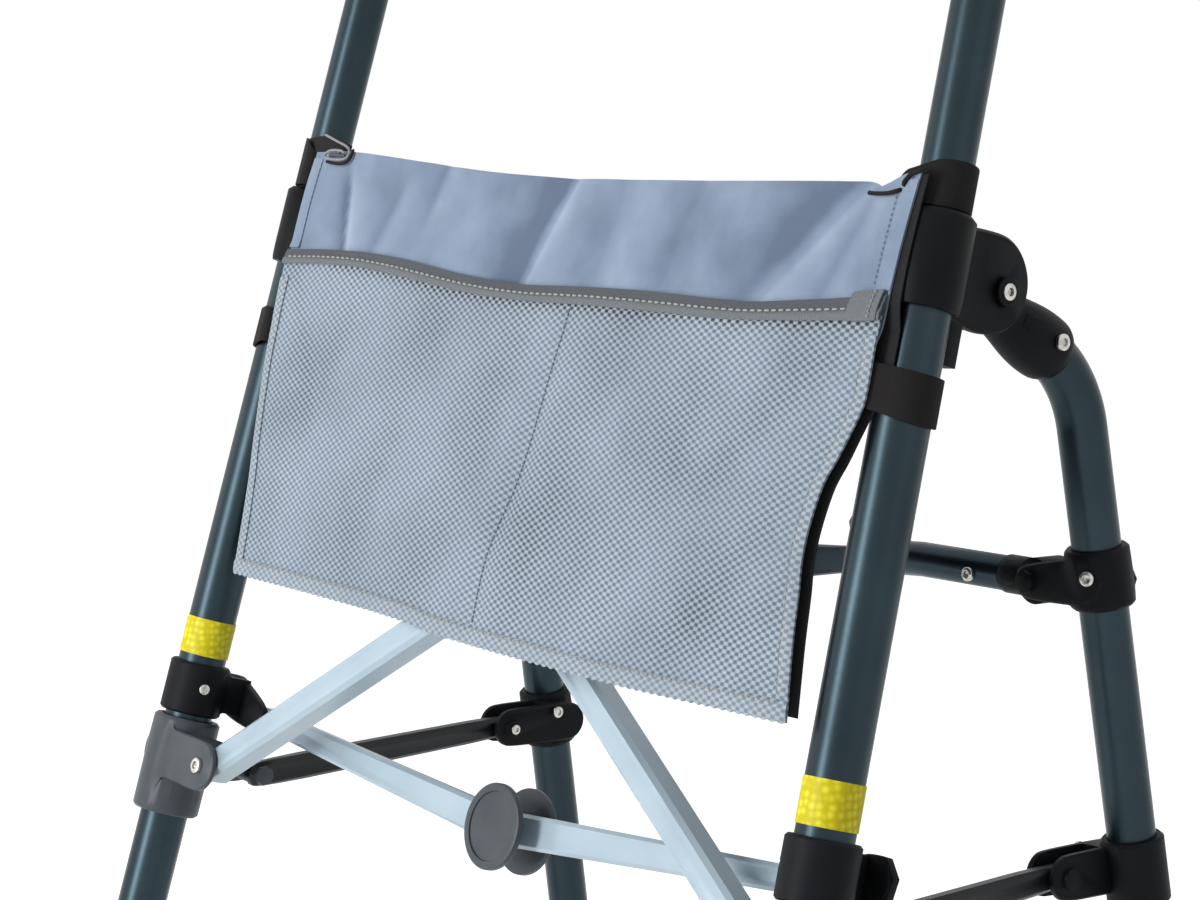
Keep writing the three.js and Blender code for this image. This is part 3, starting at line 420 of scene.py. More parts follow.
@dataclass(frozen=True)
class MouldedPlastic:
    """Injection-moulded plastic or rubber: dull, with the fine grain of a spark-eroded mould."""

    name: str
    colour: str
    pale: str
    roughness: float = 0.45
    grain_mm: float = 0.7
    grain_depth_mm: float = 0.05
    specular: float = 0.4
    patches: float = 35.0  # per metre, 29 mm each

    def material(self) -> Material:
        """Builds the material: grain in the bump, and rubbed patches a little paler.

        Returns:
            The material.
        """
        mat, tree = start_material(self.name)
        where = add_node(tree, "ShaderNodeTexCoord").outputs["Object"]
        grain = add_node(tree, "ShaderNodeTexNoise", {
            "Vector": where, "Scale": 1 / (self.grain_mm * MM), "Detail": 2.0})
        patches = add_node(tree, "ShaderNodeTexNoise", {
            "Vector": where, "Scale": self.patches, "Detail": 4.0})
        ramp = add_node(tree, "ShaderNodeValToRGB", {"Fac": patches.outputs["Fac"]})
        rough = add_node(tree, "ShaderNodeMapRange", {
            "Value": patches.outputs["Fac"],
            "To Min": self.roughness - 0.06, "To Max": self.roughness + 0.1})
        bump = add_node(tree, "ShaderNodeBump", {
            "Height": grain.outputs["Fac"], "Strength": 0.5, "Distance": self.grain_depth_mm * MM})
        shade(tree, {"Base Color": fill_ramp(ramp, [(0.35, self.colour), (0.75, self.pale)]),
                     "Roughness": rough.outputs["Result"], "Normal": bump.outputs["Normal"],
                     "Specular IOR Level": self.specular})
        return mat


@dataclass(frozen=True)
class PlatedSteel:
    """Zinc-plated screw steel: bright, with faint clouding in the plating."""

    name: str
    colour: str = "d6d4cf"
    clouded: str = "a9a8a4"
    clouds: float = 260.0  # per metre, 4 mm each

    def material(self) -> Material:
        """Builds the material: clouded colour and roughness.

        Returns:
            The material.
        """
        mat, tree = start_material(self.name)
        where = add_node(tree, "ShaderNodeTexCoord").outputs["Object"]
        cloud = add_node(tree, "ShaderNodeTexNoise", {"Vector": where, "Scale": self.clouds, "Detail": 3.0})
        ramp = add_node(tree, "ShaderNodeValToRGB", {"Fac": cloud.outputs["Fac"]})
        rough = add_node(tree, "ShaderNodeMapRange", {
            "Value": cloud.outputs["Fac"], "To Min": 0.22, "To Max": 0.42})
        shade(tree, {"Base Color": fill_ramp(ramp, [(0.3, self.clouded), (0.7, self.colour)]),
                     "Roughness": rough.outputs["Result"], "Metallic": 1.0})
        return mat


@dataclass(frozen=True)
class WovenPolyester:
    """Plain-woven polyester: matt, with threads drawn coarser than the real 0.3 mm so that they show."""

    name: str
    colour: str
    dark: str
    deep: str
    # The palest stop: reached by the random tone and by the painted highlight beside the creases.
    rubbed: str
    thread_mm: float = 0.9
    depth_mm: float = 0.12
    sheen: float = 0.25
    roughness: float = 0.8
    creases: float = 22.0  # per metre, 45 mm each

    def material(self) -> Material:
        """Builds the material: weave in the bump, a slow random tone, and painted shade and highlight by
        the creases.

        Returns:
            The material.
        """
        mat, tree = start_material(self.name)
        where = add_node(tree, "ShaderNodeUVMap", uv_map="cloth").outputs["UV"]
        warp, weft = waves(tree, where, {"X": self.thread_mm, "Y": self.thread_mm}, "SINE")
        weave = add_node(tree, "ShaderNodeMath", {0: warp, 1: weft}, operation="MULTIPLY").outputs[0]
        creases = add_node(tree, "ShaderNodeTexNoise", {
            "Vector": where, "Scale": self.creases, "Detail": 5.0})
        # The tone attribute: painted shade and highlight beside the creases, raised a little on the hems.
        tone_with_painted_light = add_node(tree, "ShaderNodeAttribute", attribute_name="tone")
        toned = add_node(tree, "ShaderNodeMath", {
            0: tone_with_painted_light.outputs["Fac"], 1: 0.9, 2: creases.outputs["Fac"]}, operation="MULTIPLY_ADD")
        cloth = fill_ramp(add_node(tree, "ShaderNodeValToRGB", {"Fac": toned.outputs[0]}), [
            (0.1, self.deep), (0.45, self.dark), (0.62, self.colour), (0.95, self.rubbed)])
        flecks = add_node(tree, "ShaderNodeMapRange", {
            "Value": weave, "From Min": -1.0, "To Min": 0.94, "To Max": 1.03})
        tint = add_node(tree, "ShaderNodeVectorMath", {
            0: cloth, "Scale": flecks.outputs["Result"]}, operation="SCALE")
        bump = add_node(tree, "ShaderNodeBump", {
            "Height": weave, "Strength": 0.5, "Distance": self.depth_mm * MM})
        shade(tree, {"Base Color": tint.outputs["Vector"], "Normal": bump.outputs["Normal"],
                     "Roughness": self.roughness, "Sheen Weight": self.sheen, "Specular IOR Level": 0.25})
        return mat


@dataclass(frozen=True)
class KnittedMesh:
    """Warp-knitted mesh: pale threads round holes that stand in staggered rows, 6 by 3.8 mm apart."""

    name: str
    thread: str
    hole: str
    shadow: str
    pale_thread: str
    pitch_mm: float = 6.0
    row_mm: float = 3.8
    depth_mm: float = 0.5
    patches: float = 13.0  # per metre, 77 mm each

    def material(self) -> Material:
        """Builds the material: holes by two crossed waves, darker where the tone says so.

        Returns:
            The material.
        """
        mat, tree = start_material(self.name)
        colour_a, colour_b, colour_out = 6, 7, 2  # a Mix node's sockets for colours, by number
        where = add_node(tree, "ShaderNodeUVMap", uv_map="cloth").outputs["UV"]
        across, up = waves(tree, where, {"X": self.pitch_mm, "Y": self.row_mm}, "COSINE")
        lattice = add_node(tree, "ShaderNodeMath", {0: across, 1: up}, operation="MULTIPLY")
        opening = add_node(tree, "ShaderNodeMapRange", {
            "Value": lattice.outputs[0], "From Min": -0.42, "From Max": 0.5}).outputs["Result"]
        patches = add_node(tree, "ShaderNodeTexNoise", {
            "Vector": where, "Scale": self.patches, "Detail": 3.0}).outputs["Fac"]
        threads = fill_ramp(add_node(tree, "ShaderNodeValToRGB", {"Fac": patches}), [
            (0.3, self.thread), (0.7, self.pale_thread)])
        tone = add_node(tree, "ShaderNodeAttribute", attribute_name="tone")
        clear = add_node(tree, "ShaderNodeMapRange", {
            "Value": patches, "From Min": 0.35, "From Max": 0.65, "To Min": 0.3, "To Max": -0.1})
        below = add_node(tree, "ShaderNodeMath", {
            0: tone.outputs["Fac"], 1: clear.outputs["Result"]}, operation="ADD", use_clamp=True)
        holes = add_node(tree, "ShaderNodeMix", {
            "Factor": below.outputs[0], colour_a: linear(self.hole), colour_b: linear(self.shadow)},
            data_type="RGBA")
        both = add_node(tree, "ShaderNodeMix", {
            "Factor": opening, colour_a: threads, colour_b: holes.outputs[colour_out]}, data_type="RGBA")
        height = add_node(tree, "ShaderNodeMapRange", {"Value": opening, "To Min": 1.0, "To Max": 0.0})
        bump = add_node(tree, "ShaderNodeBump", {
            "Height": height.outputs["Result"], "Strength": 0.7, "Distance": self.depth_mm * MM})
        shade(tree, {"Base Color": both.outputs[colour_out], "Normal": bump.outputs["Normal"],
                     "Roughness": 0.75, "Sheen Weight": 0.15, "Specular IOR Level": 0.3})
        return mat


@dataclass(frozen=True)
class RibbedWebbing:
    """Woven webbing or binding tape: ribs across the tape, matt, with lint between them."""

    name: str
    colour: str
    pale: str
    rib_mm: float
    depth_mm: float
    lint: float = 900.0  # per metre, 1.1 mm each

    def material(self) -> Material:
        """Builds the material: ribs in bump and tint, and lint between them.

        Returns:
            The material.
        """
        mat, tree = start_material(self.name)
        where = add_node(tree, "ShaderNodeUVMap", uv_map="cloth").outputs["UV"]
        ribs = waves(tree, where, {"X": self.rib_mm}, "SINE")[0]
        lint = add_node(tree, "ShaderNodeTexNoise", {"Vector": where, "Scale": self.lint, "Detail": 3.0})
        mixed = add_node(tree, "ShaderNodeMath", {
            0: ribs, 1: 0.25, 2: lint.outputs["Fac"]}, operation="MULTIPLY_ADD")
        ramp = add_node(tree, "ShaderNodeValToRGB", {"Fac": mixed.outputs[0]})
        bump = add_node(tree, "ShaderNodeBump", {
            "Height": ribs, "Strength": 0.5, "Distance": self.depth_mm * MM})
        shade(tree, {"Base Color": fill_ramp(ramp, [(0.3, self.colour), (0.85, self.pale)]),
                     "Normal": bump.outputs["Normal"], "Roughness": 0.85, "Specular IOR Level": 0.2})
        return mat


@dataclass(frozen=True)
class ReflectiveTape:
    """Yellow prismatic tape: embossed cells 4 mm across, dull from use."""

    name: str
    colour: str = "cfc010"
    pale: str = "ece43a"
    cell_mm: float = 4.0
    depth_mm: float = 0.3

    def material(self) -> Material:
        """Builds the material: cells in tint and bump.

        Returns:
            The material.
        """
        mat, tree = start_material(self.name)
        where = add_node(tree, "ShaderNodeTexCoord").outputs["Object"]
        cells = add_node(tree, "ShaderNodeTexVoronoi", {
            "Vector": where, "Scale": 1 / (self.cell_mm * MM), "Randomness": 0.35}).outputs["Distance"]
        ramp = add_node(tree, "ShaderNodeValToRGB", {"Fac": cells})
        bump = add_node(tree, "ShaderNodeBump", {
            "Height": cells, "Strength": 0.6, "Distance": self.depth_mm * MM})
        shade(tree, {"Base Color": fill_ramp(ramp, [(0.15, self.pale), (0.6, self.colour)]),
                     "Normal": bump.outputs["Normal"], "Roughness": 0.5, "Specular IOR Level": 0.25})
        return mat


def made_of(finish: Any) -> Any:
    """A field of the wardrobe that holds this finish's material."""
    return field(default_factory=finish.material)


@dataclass
class Wardrobe:
    """Every finish of the walker, built once."""

    # Drawn tube, etched and dyed: a dark teal satin, with one soft streak of light down its length.
    tube: Material = made_of(AnodisedAluminium(
        "anodised_aluminium_teal_grey", "323f45", "2b363b", 0.33, 1.0))
    # Extruded flat bar, blasted before it was anodised: a pale, cool silver with hardly a reflection.
    bar: Material = made_of(AnodisedAluminium(
        "anodised_aluminium_silver_blue", "b2c5d1", "9fb2bf", 0.34, 0.22))
    # Extruded bar, dyed dark: nearly black, with a dull gleam where a face turns to the light.
    brace: Material = made_of(AnodisedAluminium(
        "anodised_aluminium_dark_grey", "1b2022", "14181a", 0.4, 0.5))
    # Glass-filled nylon from an eroded mould: a flat black, whose forms show only at their edges.
    housing: Material = made_of(MouldedPlastic(
        "moulded_nylon_black", "0c0e11", "15181c", 0.5, specular=0.1))
    # The same nylon with less dye, rubbed by the bars: a dark grey that keeps a faint shine.
    bracket: Material = made_of(MouldedPlastic(
        "moulded_nylon_dark_grey", "3d4349", "4a5056", 0.4, specular=0.3))
    # Moulded rubber: soft and dull, greyed by the floor.
    rubber: Material = made_of(MouldedPlastic(
        "moulded_rubber_black", "1b1b1c", "2a2a2b", 0.75, 1.0, 0.08, 0.25))
    # Soft thermoplastic rubber, moulded over a sleeve: dull and finely pebbled.
    grip: Material = made_of(MouldedPlastic(
        "soft_grip_thermoplastic_rubber", "1e1f21", "2b2c2f", 0.7, 0.9, 0.1, 0.3))
    # Solid rubber, moulded round the rim: the dullest black of all, with coarse pits.
    tread: Material = made_of(MouldedPlastic("solid_tyre_rubber", "202021", "303031", 0.8, 1.4, 0.15, 0.25))
    # Moulded polypropylene: a plain mid grey with a waxy shine.
    rim: Material = made_of(MouldedPlastic("moulded_polypropylene_grey", "7d8488", "959b9f", 0.45))
    # Zinc-plated steel, barrel-plated: small bright points with a cloudy shine.
    screw: Material = made_of(PlatedSteel("zinc_plated_steel"))
    # Embossed prismatic film: a loud yellow, broken up into cells.
    tape: Material = made_of(ReflectiveTape("prismatic_reflective_tape_yellow"))
    # Plain-woven and washed soft: a blue-grey, with painted shade and a painted highlight on either side of
    # its creases.
    cloth: Material = made_of(WovenPolyester(
        "woven_polyester_blue_grey", "8899b0", "7c8da4", "5d6d84", "a2b1c6"))
    # The same weave in black: it reads as the bag's shadow.
    backing: Material = made_of(WovenPolyester(
        "woven_polyester_black", "131418", "0f1013", "08090b", "1c1d21", 0.9, 0.12, 0.1))
    # Warp-knitted mesh: pale threads with rows of darker holes, a grey veil from further off.
    mesh: Material = made_of(KnittedMesh(
        "knitted_polyester_mesh_grey", "98a5b1", "6c7b8d", "23282e", "a9b6c2"))
    # The mesh laid double at its hems: the same rows, with paler holes.
    hem_mesh: Material = made_of(KnittedMesh(
        "knitted_polyester_mesh_doubled", "9ca8b3", "7a8591", "5f676f", "adb8c2"))
    # Woven binding tape, folded over the pocket's edge: a flat, finely ribbed grey.
    binding: Material = made_of(RibbedWebbing("woven_binding_tape_grey", "4f5358", "696d72", 1.1, 0.15))
    # Its turned-up lip: the same ribs, paler.
    binding_pale: Material = made_of(RibbedWebbing(
        "woven_binding_tape_pale_grey", "666b6f", "7f8386", 1.1, 0.15))
    # Hook-and-loop webbing, woven and brushed: a soft black with hardly a rib to see.
    webbing: Material = made_of(RibbedWebbing("hook_and_loop_webbing_black", "1b191a", "201e1f", 1.4, 0.03))
    # Narrow woven webbing: dark grey and ribbed.
    grey_webbing: Material = made_of(RibbedWebbing("woven_webbing_dark_grey", "4e5359", "62666c", 1.1, 0.1))
    # Woven drawstring: a pale line on the cloth.
    pale_webbing: Material = made_of(RibbedWebbing("woven_cord_pale_grey", "85868a", "a3a3a6", 1.1, 0.1))
    # Spun polyester thread: short pale dashes with a little sheen.
    thread: Material = made_of(WovenPolyester(
        "sewing_thread_pale_grey", "b2b2aa", "a2a39c", "7f807a", "c4c4bd", 0.3, 0.03, 0.1, 0.7))
    # The same thread in a shade darker than the cloth: the rows that only just show.
    dark_thread: Material = made_of(WovenPolyester(
        "sewing_thread_dark_grey", "6f7782", "656d78", "474d55", "8a929c", 0.3, 0.03, 0.1, 0.7))


# Rigid pieces


def body_with(node: str) -> str:
    """The name of the body that holds a CAD node."""
    bodies = frame["record"]["behaviour"]["bodies"]
    return next(name for name, nodes in bodies.items() if node in nodes)


@dataclass
class MouldedParts:
    """The rigid CAD nodes, copied with their edges eased as the real mouldings and bars have them.

    Each row of shared and paired is a node, the wardrobe's finish, the record's slot and the width of its
    rounding in mm. The walls of the nodes in curved are split into finer arcs.
    """

    wardrobe: Wardrobe
    shared: tuple = (
        ("cross_bar_front", "bar", "silver_bar", 1.0), ("cross_bar_rear", "bar", "silver_bar", 1.0),
        ("cross_pivot_bolt", "screw", "steel_hardware", 0.3))
    paired: tuple = (
        ("hinge_clamp", "housing", "black_housing", 0.9), ("hinge_bolt", "housing", "steel_hardware", 0.4),
        ("upper_bracket", "housing", "grey_bracket", 0.8),
        ("slider_bracket", "bracket", "grey_bracket", 0.8),
        ("rear_socket", "housing", "black_housing", 0.8), ("rear_tip", "rubber", "rubber_tip", 0.8),
        ("side_brace_bracket", "housing", "black_housing", 0.9),
        ("rear_lock_bracket", "housing", "black_housing", 0.9),
        ("rear_lock_knuckle", "housing", "black_housing", 0.7), ("side_brace", "brace", "dark_brace", 0.7),
        ("front_lock_bar", "bar", "silver_bar", 0.7), ("front_lock_hub", "bracket", "grey_bracket", 0.5),
        ("rear_lock_bar", "tube", "silver_bar", 0.5), ("rear_lock_hub", "screw", "steel_hardware", 0.4),
        ("handle_grip", "grip", "foam_grip", 0.5), ("leg_plug", "housing", "black_housing", 0.4),
        ("wheel_axle", "screw", "steel_hardware", 0.3), ("wheel_hub", "rim", "wheel_plastic", 0.6),
        ("wheel_tyre", "tread", "wheel_tread", 0.5), ("height_button", "screw", "steel_hardware", 0.2))
    curved: tuple = (
        "hinge_clamp", "hinge_bolt", "upper_bracket", "slider_bracket", "rear_socket", "side_brace_bracket",
        "rear_lock_bracket", "rear_lock_knuckle", "front_lock_hub", "side_brace", "rear_tip",
        "rear_lock_hub", "handle_grip")
    splits: int = 2
    flat_angle: float = math.radians(1.2)
    arc_angle: float = math.radians(0.8)
    corner_angle: float = math.radians(40)
    weld: float = 0.02 * MM

    def round_walls(self, piece: Object) -> None:
        """Turns the flats of curved walls into smooth arcs; edges sharper than corner_angle stay put.

        Args:
            piece: The copy of a node, merged.
        """
        finish_with(piece, "TRIANGULATE", min_vertices=5)
        with editing(piece, "DESELECT"):
            bpy.ops.mesh.select_mode(type="EDGE")
            bpy.ops.mesh.edges_select_sharp(sharpness=self.corner_angle)
            bpy.ops.transform.edge_crease(value=1)
        finish_with(piece, "SUBSURF", levels=self.splits, render_levels=self.splits)
        with editing(piece):
            bpy.ops.mesh.select_mode(type="VERT")
            bpy.ops.mesh.select_all(action="SELECT")
            bpy.ops.mesh.dissolve_limited(angle_limit=self.arc_angle)

    def refine(self, node: str, finish: str, slot: str, edge_mm: float, curved: bool) -> Object:
        """Copies a CAD node, rounds its sharp edges and dresses it.

        Args:
            node: The node's name.
            finish: The name of its finish in the wardrobe.
            slot: The record's material slot.
            edge_mm: The width of the rounding, in mm.
            curved: Whether its walls are split into finer arcs.

        Returns:
            The piece that stands for the node.
        """
        select_only(frame["nodes"][node])
        bpy.ops.object.duplicate()
        bpy.ops.object.parent_clear(type="CLEAR_KEEP_TRANSFORM")
        piece = name_piece(f"{node}_finished")
        with editing(piece):
            bpy.ops.mesh.remove_doubles(threshold=self.weld)
            bpy.ops.mesh.dissolve_limited(angle_limit=self.flat_angle)
        if curved:
            self.round_walls(piece)
        ease_edges(piece, edge_mm * MM, 50)
        smooth(piece, 36)
        dress(piece, getattr(self.wardrobe, finish), slot, body_with(node))
        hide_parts(node)
        return piece

    def build(self) -> list[Object]:
        """Refines every rigid node that no other class models.

        Returns:
            The pieces, in the order of the rows.
        """
        rows = [(node, *rest, False) for node, *rest in self.shared]
        rows += [(f"{side.word}_{node}", *rest, node in self.curved)
                 for side in Side for node, *rest in self.paired]
        return [self.refine(*row) for row in rows]


@dataclass
class Tubing:
    """The round tubes: front legs, rear legs, handle tubes, and the tape round each front leg."""

    wardrobe: Wardrobe
    sides: int = 48
    leg_radius: float = 14.3 * MM
    leg_wall: float = 1.25 * MM
    leg_low: float = (38 - 510 / math.cos(math.radians(14.47))) * MM
    leg_high: float = 187.7 * MM
    slim_radius: float = 12.7 * MM
    button_level: float = 40 * MM
    button_pitch: float = 25.4 * MM
    button_hole: float = 3.9 * MM
    button_steps: tuple = (-2, -1, 0, 1, 2, 3)
    tape_low: float = -101 * MM
    tape_high: float = -79 * MM
    tape_stand: float = 0.6 * MM
    tape_thickness: float = 0.5 * MM
    rear_start: float = 0.032
    rear_bend: float = 0.060
    rear_foot: float = 0.009
    handle_start: float = 0.015
    handle_top: float = 0.390
    handle_bend: float = 0.065
    handle_reach: float = 0.128

    def straight(self, name: str, low: float, high: float, radius: float, wall: float) -> Object:
        """A tube along Z with a wall of real thickness.

        Args:
            name: The piece's name.
            low: Its lower end.
            high: Its upper end.
            radius: Outer radius.
            wall: Wall thickness.

        Returns:
            The tube, at the origin's axis.
        """
        select_only()
        bpy.ops.mesh.primitive_cylinder_add(vertices=self.sides, radius=radius, depth=high - low,
                                            end_fill_type="NOTHING", location=(0, 0, (low + high) / 2))
        tube = settle(name_piece(name))
        return finish_with(tube, "SOLIDIFY", thickness=wall, offset=-1)

    def bent(self, name: str, start: Vector, way: Vector, first: float, centre: Vector, angle: float,
             last: float) -> Object:
        """A tube that runs straight, round one bend about X and straight again.

        Args:
            name: The piece's name.
            start: The middle of its first end.
            way: The direction in which it sets off.
            first: The length of the first straight run.
            centre: The middle of the bend.
            angle: How far it turns, in radians.
            last: The length of the last straight run.

        Returns:
            The tube with closed ends.
        """
        axis = Vector((1, 0, 0))
        onward = Matrix.Rotation(angle, 3, axis) @ way
        select_only()
        bpy.ops.mesh.primitive_circle_add(vertices=self.sides, radius=self.slim_radius, fill_type="NGON",
                                          location=start, rotation=way.to_track_quat("Z", "Y").to_euler())
        tube = settle(name_piece(name))
        with editing(tube):
            bpy.ops.mesh.extrude_region_move(TRANSFORM_OT_translate={"value": way * first})
            bpy.ops.mesh.spin(steps=20, angle=-angle, center=centre, axis=axis)
            bpy.ops.mesh.extrude_region_move(TRANSFORM_OT_translate={"value": onward * last})
        return recalculate(tube)

    def stand(self, tube: Object, at: Matrix, finish: Material, slot: str, body: str, node: str) -> Object:
        """Sets a tube in its frame, in place of its CAD node.

        Args:
            tube: The tube, made at the origin.
            at: The frame.
            finish: Its material.
            slot: The record's material slot.
            body: The body that carries it.
            node: The node that it stands for.

        Returns:
            The tube.
        """
        place(tube, at)
        smooth(tube, 30)
        dress(tube, finish, slot, body)
        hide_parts(node)
        return tube

    def front_leg(self, side: Side) -> Object:
        """The front leg, with its row of button holes drilled on the inner side.

        Args:
            side: Which leg.

        Returns:
            The tube.
        """
        leg = self.straight(f"{side.word}_front_leg_tube", self.leg_low, self.leg_high, self.leg_radius,
                            self.leg_wall)
        for step in self.button_steps:
            select_only()
            bpy.ops.mesh.primitive_cylinder_add(
                vertices=24, radius=self.button_hole, depth=self.leg_radius * 1.4,
                location=(-side.value * self.leg_radius, 0, self.button_level + step * self.button_pitch),
                rotation=(0, math.pi / 2, 0))
            drill = settle(name_piece("drill"))
            finish_with(leg, "BOOLEAN", object=drill, operation="DIFFERENCE", solver="EXACT")
            bpy.data.objects.remove(drill)
        return self.stand(leg, STANCE.leg(side), self.wardrobe.tube, "anodised_tube", f"{side.word}_side",
                          f"{side.word}_front_leg")

    def rear_leg(self, side: Side) -> Object:
        """The rear leg, from its socket round the long bend to the rubber tip.

        Args:
            side: Which leg.

        Returns:
            The tube.
        """
        x = -side.value * STANCE.rear_inset
        slope = math.tan(STANCE.rear_lean)
        hinge = STANCE.hinge(x)
        way = STANCE.socket_way()
        down = Vector((0, math.sin(STANCE.rear_lean), -math.cos(STANCE.rear_lean)))
        line = STANCE.rear_setback - slope * hinge.z
        reach = (line - hinge.y) / (way.y + slope * way.z)
        turn = way.angle(down)
        tangent = min(self.rear_bend * math.tan(turn / 2), reach - self.rear_start - 1 * MM)
        radius = tangent / math.tan(turn / 2)
        centre = hinge + way * (reach - tangent) + Vector((0, way.z, -way.y)) * radius
        corner = hinge + way * reach
        foot_z = self.rear_foot - STANCE.cross_level
        foot = Vector((x, STANCE.rear_setback - slope * foot_z, foot_z))
        last = (foot - corner).length - tangent
        tube = self.bent(f"{side.word}_rear_leg_tube", hinge + way * self.rear_start, way,
                         reach - tangent - self.rear_start, centre, -turn, last)
        return self.stand(tube, STANCE.upright(side), self.wardrobe.tube, "anodised_tube",
                          f"{side.word}_rear", f"{side.word}_rear_leg")

    def handle(self, side: Side) -> Object:
        """The handle tube, from inside the front leg to the end of the grip.

        Args:
            side: Which handle.

        Returns:
            The tube.
        """
        lean, bend = STANCE.lean, self.handle_bend
        way = Vector((0, math.sin(lean), math.cos(lean)))
        start_up = self.handle_top - bend * (1 - math.sin(lean))
        low = way * self.handle_start
        bend_start = Vector((0, start_up * math.tan(lean), start_up))
        centre = bend_start + Vector((0, math.cos(lean), -math.sin(lean))) * bend
        tube = self.bent(f"{side.word}_handle_bent_tube", low, way, (bend_start - low).length, centre,
                         -(math.pi / 2 - lean), self.handle_reach)
        return self.stand(tube, STANCE.upright(side), self.wardrobe.tube, "anodised_tube",
                          f"{side.word}_handle", f"{side.word}_handle_tube")

    def tape(self, side: Side) -> Object:
        """The reflective tape wrapped round the front leg.

        Args:
            side: Which leg.

        Returns:
            The tape.
        """
        band = self.straight(f"{side.word}_reflective_tape", self.tape_low, self.tape_high,
                             self.leg_radius + self.tape_stand, self.tape_thickness)
        return self.stand(band, STANCE.leg(side), self.wardrobe.tape, "reflective_tape",
                          f"{side.word}_side", f"{side.word}_reflective_band")

    def build(self) -> list[Object]:
        """Makes the tubes of both sides."""
        return [make(side) for side in Side
                for make in (self.front_leg, self.rear_leg, self.handle, self.tape)]


@dataclass
class Fasteners:
    """Pan-head screws with a hexagon socket, set in the housings and at the pivots."""

    wardrobe: Wardrobe
    radius: float = 4.2 * MM
    height: float = 2.2 * MM
    model: Object | None = None
    rim: float = 0.3  # of the radius, as the next one
    socket_edge: float = 0.22
    dome: float = 0.25  # of the height, as the next one
    socket_depth: float = 0.8
    hinge_face_mm: float = 2.0
    socket_face_mm: float = 26 - 17.2
    socket_along: float = 0.052
    clamp_out_mm: float = 17.0
    bracket_out_mm: float = 18.4
    cheek_mm: tuple = (2.2, -16.3)  # the front of the slider's cheek on the left, and on the right

    def pattern(self) -> Object:
        """The screw that the others are copied from, standing on the origin along Z.

        Returns:
            The pattern.
        """
        select_only()
        bpy.ops.mesh.primitive_cylinder_add(vertices=24, radius=self.radius, depth=self.height,
                                            location=(0, 0, self.height / 2))
        screw = settle(name_piece("screw_pattern"))
        select_only(screw)
        bpy.ops.object.mode_set(mode="EDIT")
        bpy.ops.mesh.select_all(action="DESELECT")
        bpy.ops.object.mode_set(mode="OBJECT")
        for face in screw.data.polygons:
            face.select = face.normal.z > 0.9
        bpy.ops.object.mode_set(mode="EDIT")
        bpy.ops.mesh.inset(thickness=self.radius * self.rim)
        bpy.ops.transform.translate(value=(0, 0, self.height * self.dome))
        bpy.ops.mesh.inset(thickness=self.radius * self.socket_edge)
        bpy.ops.mesh.extrude_region_move(
            TRANSFORM_OT_translate={"value": (0, 0, -self.height * self.socket_depth)})
        bpy.ops.object.mode_set(mode="OBJECT")
        ease_edges(screw, 0.25 * MM, 30)
        return smooth(screw, 40)

    def put(self, name: str, frame_of: Matrix, at: Vector, axis: Vector, body: str, scale: float) -> Object:
        """Copies the screw to a place.

        Args:
            name: The screw's name.
            frame_of: The frame that the place is given in.
            at: The middle of the face that it stands on.
            axis: The way that its head points.
            body: The body that carries it.
            scale: Its size against the pattern.

        Returns:
            The screw.
        """
        select_only(self.model)
        bpy.ops.object.duplicate()
        screw = name_piece(name)
        turn = axis.normalized().to_track_quat("Z", "Y").to_matrix().to_4x4()
        place(screw, frame_of @ Matrix.Translation(at) @ turn @ Matrix.Scale(scale, 4))
        return dress(screw, self.wardrobe.screw, "steel_hardware", body)

    def plans(self, side: Side) -> list[tuple]:
        """Each screw of one side: its name, frame, place, direction, body and size.

        Args:
            side: Which side.

        Returns:
            A row for each screw.
        """
        sign = side.value
        up, leg = STANCE.upright(side), STANCE.leg(side)
        out, inner, ahead = Vector((sign, 0, 0)), Vector((-sign, 0, 0)), Vector((0, -1, 0))
        outer_front = Vector((sign * 0.348, -0.937, 0))
        inner_front = Vector((-sign * 0.964, -0.263, 0))
        cheek = self.cheek_mm[0 if side is Side.LEFT else 1]
        rear_axis = Vector((-sign * STANCE.rear_inset, STANCE.rear_setback, 0))
        return [
            ("hinge", up, STANCE.hinge(-sign * self.hinge_face_mm * MM), out, "side", 1),
            ("socket", up, STANCE.hinge(-sign * self.socket_face_mm * MM)
             + STANCE.socket_way() * self.socket_along, out, "rear", 1),
            ("rear_lock_clamp", up, rear_axis + outer_front * self.clamp_out_mm * MM, outer_front,
             "rear", 0.9),
            ("rear_lock_strut", up, Vector((-sign * 0.109, 0.1800, -0.0052)), ahead, "rear_lock", 0.9),
            ("upper_bracket", leg, inner_front * self.bracket_out_mm * MM + Vector((0, 0, -0.120)),
             inner_front, "side", 0.75),
            ("slider", leg, Vector((-sign * 0.050, cheek * MM, -0.1616)), ahead, "slider", 1.1),
            ("brace_pivot", up, Vector((-sign * 0.0528, 0.172, -0.154)), inner, "rear", 0.75),
            ("brace_clamp", up, Vector((-sign * 0.0528, 0.205, -0.146)), inner, "rear", 0.85),
        ]

    def build(self) -> list[Object]:
        """Sets every screw, then removes the pattern.

        Returns:
            The screws.
        """
        self.model = self.pattern()
        screws = [self.put(f"{side.word}_{name}_screw", frame_of, at, axis, f"{side.word}_{body}", scale)
                  for side in Side for name, frame_of, at, axis, body, scale in self.plans(side)]
        bpy.data.objects.remove(self.model)
        return screws


# Bag

Line = Callable[[float], float]
Path = Callable[[float], tuple[float, float]]


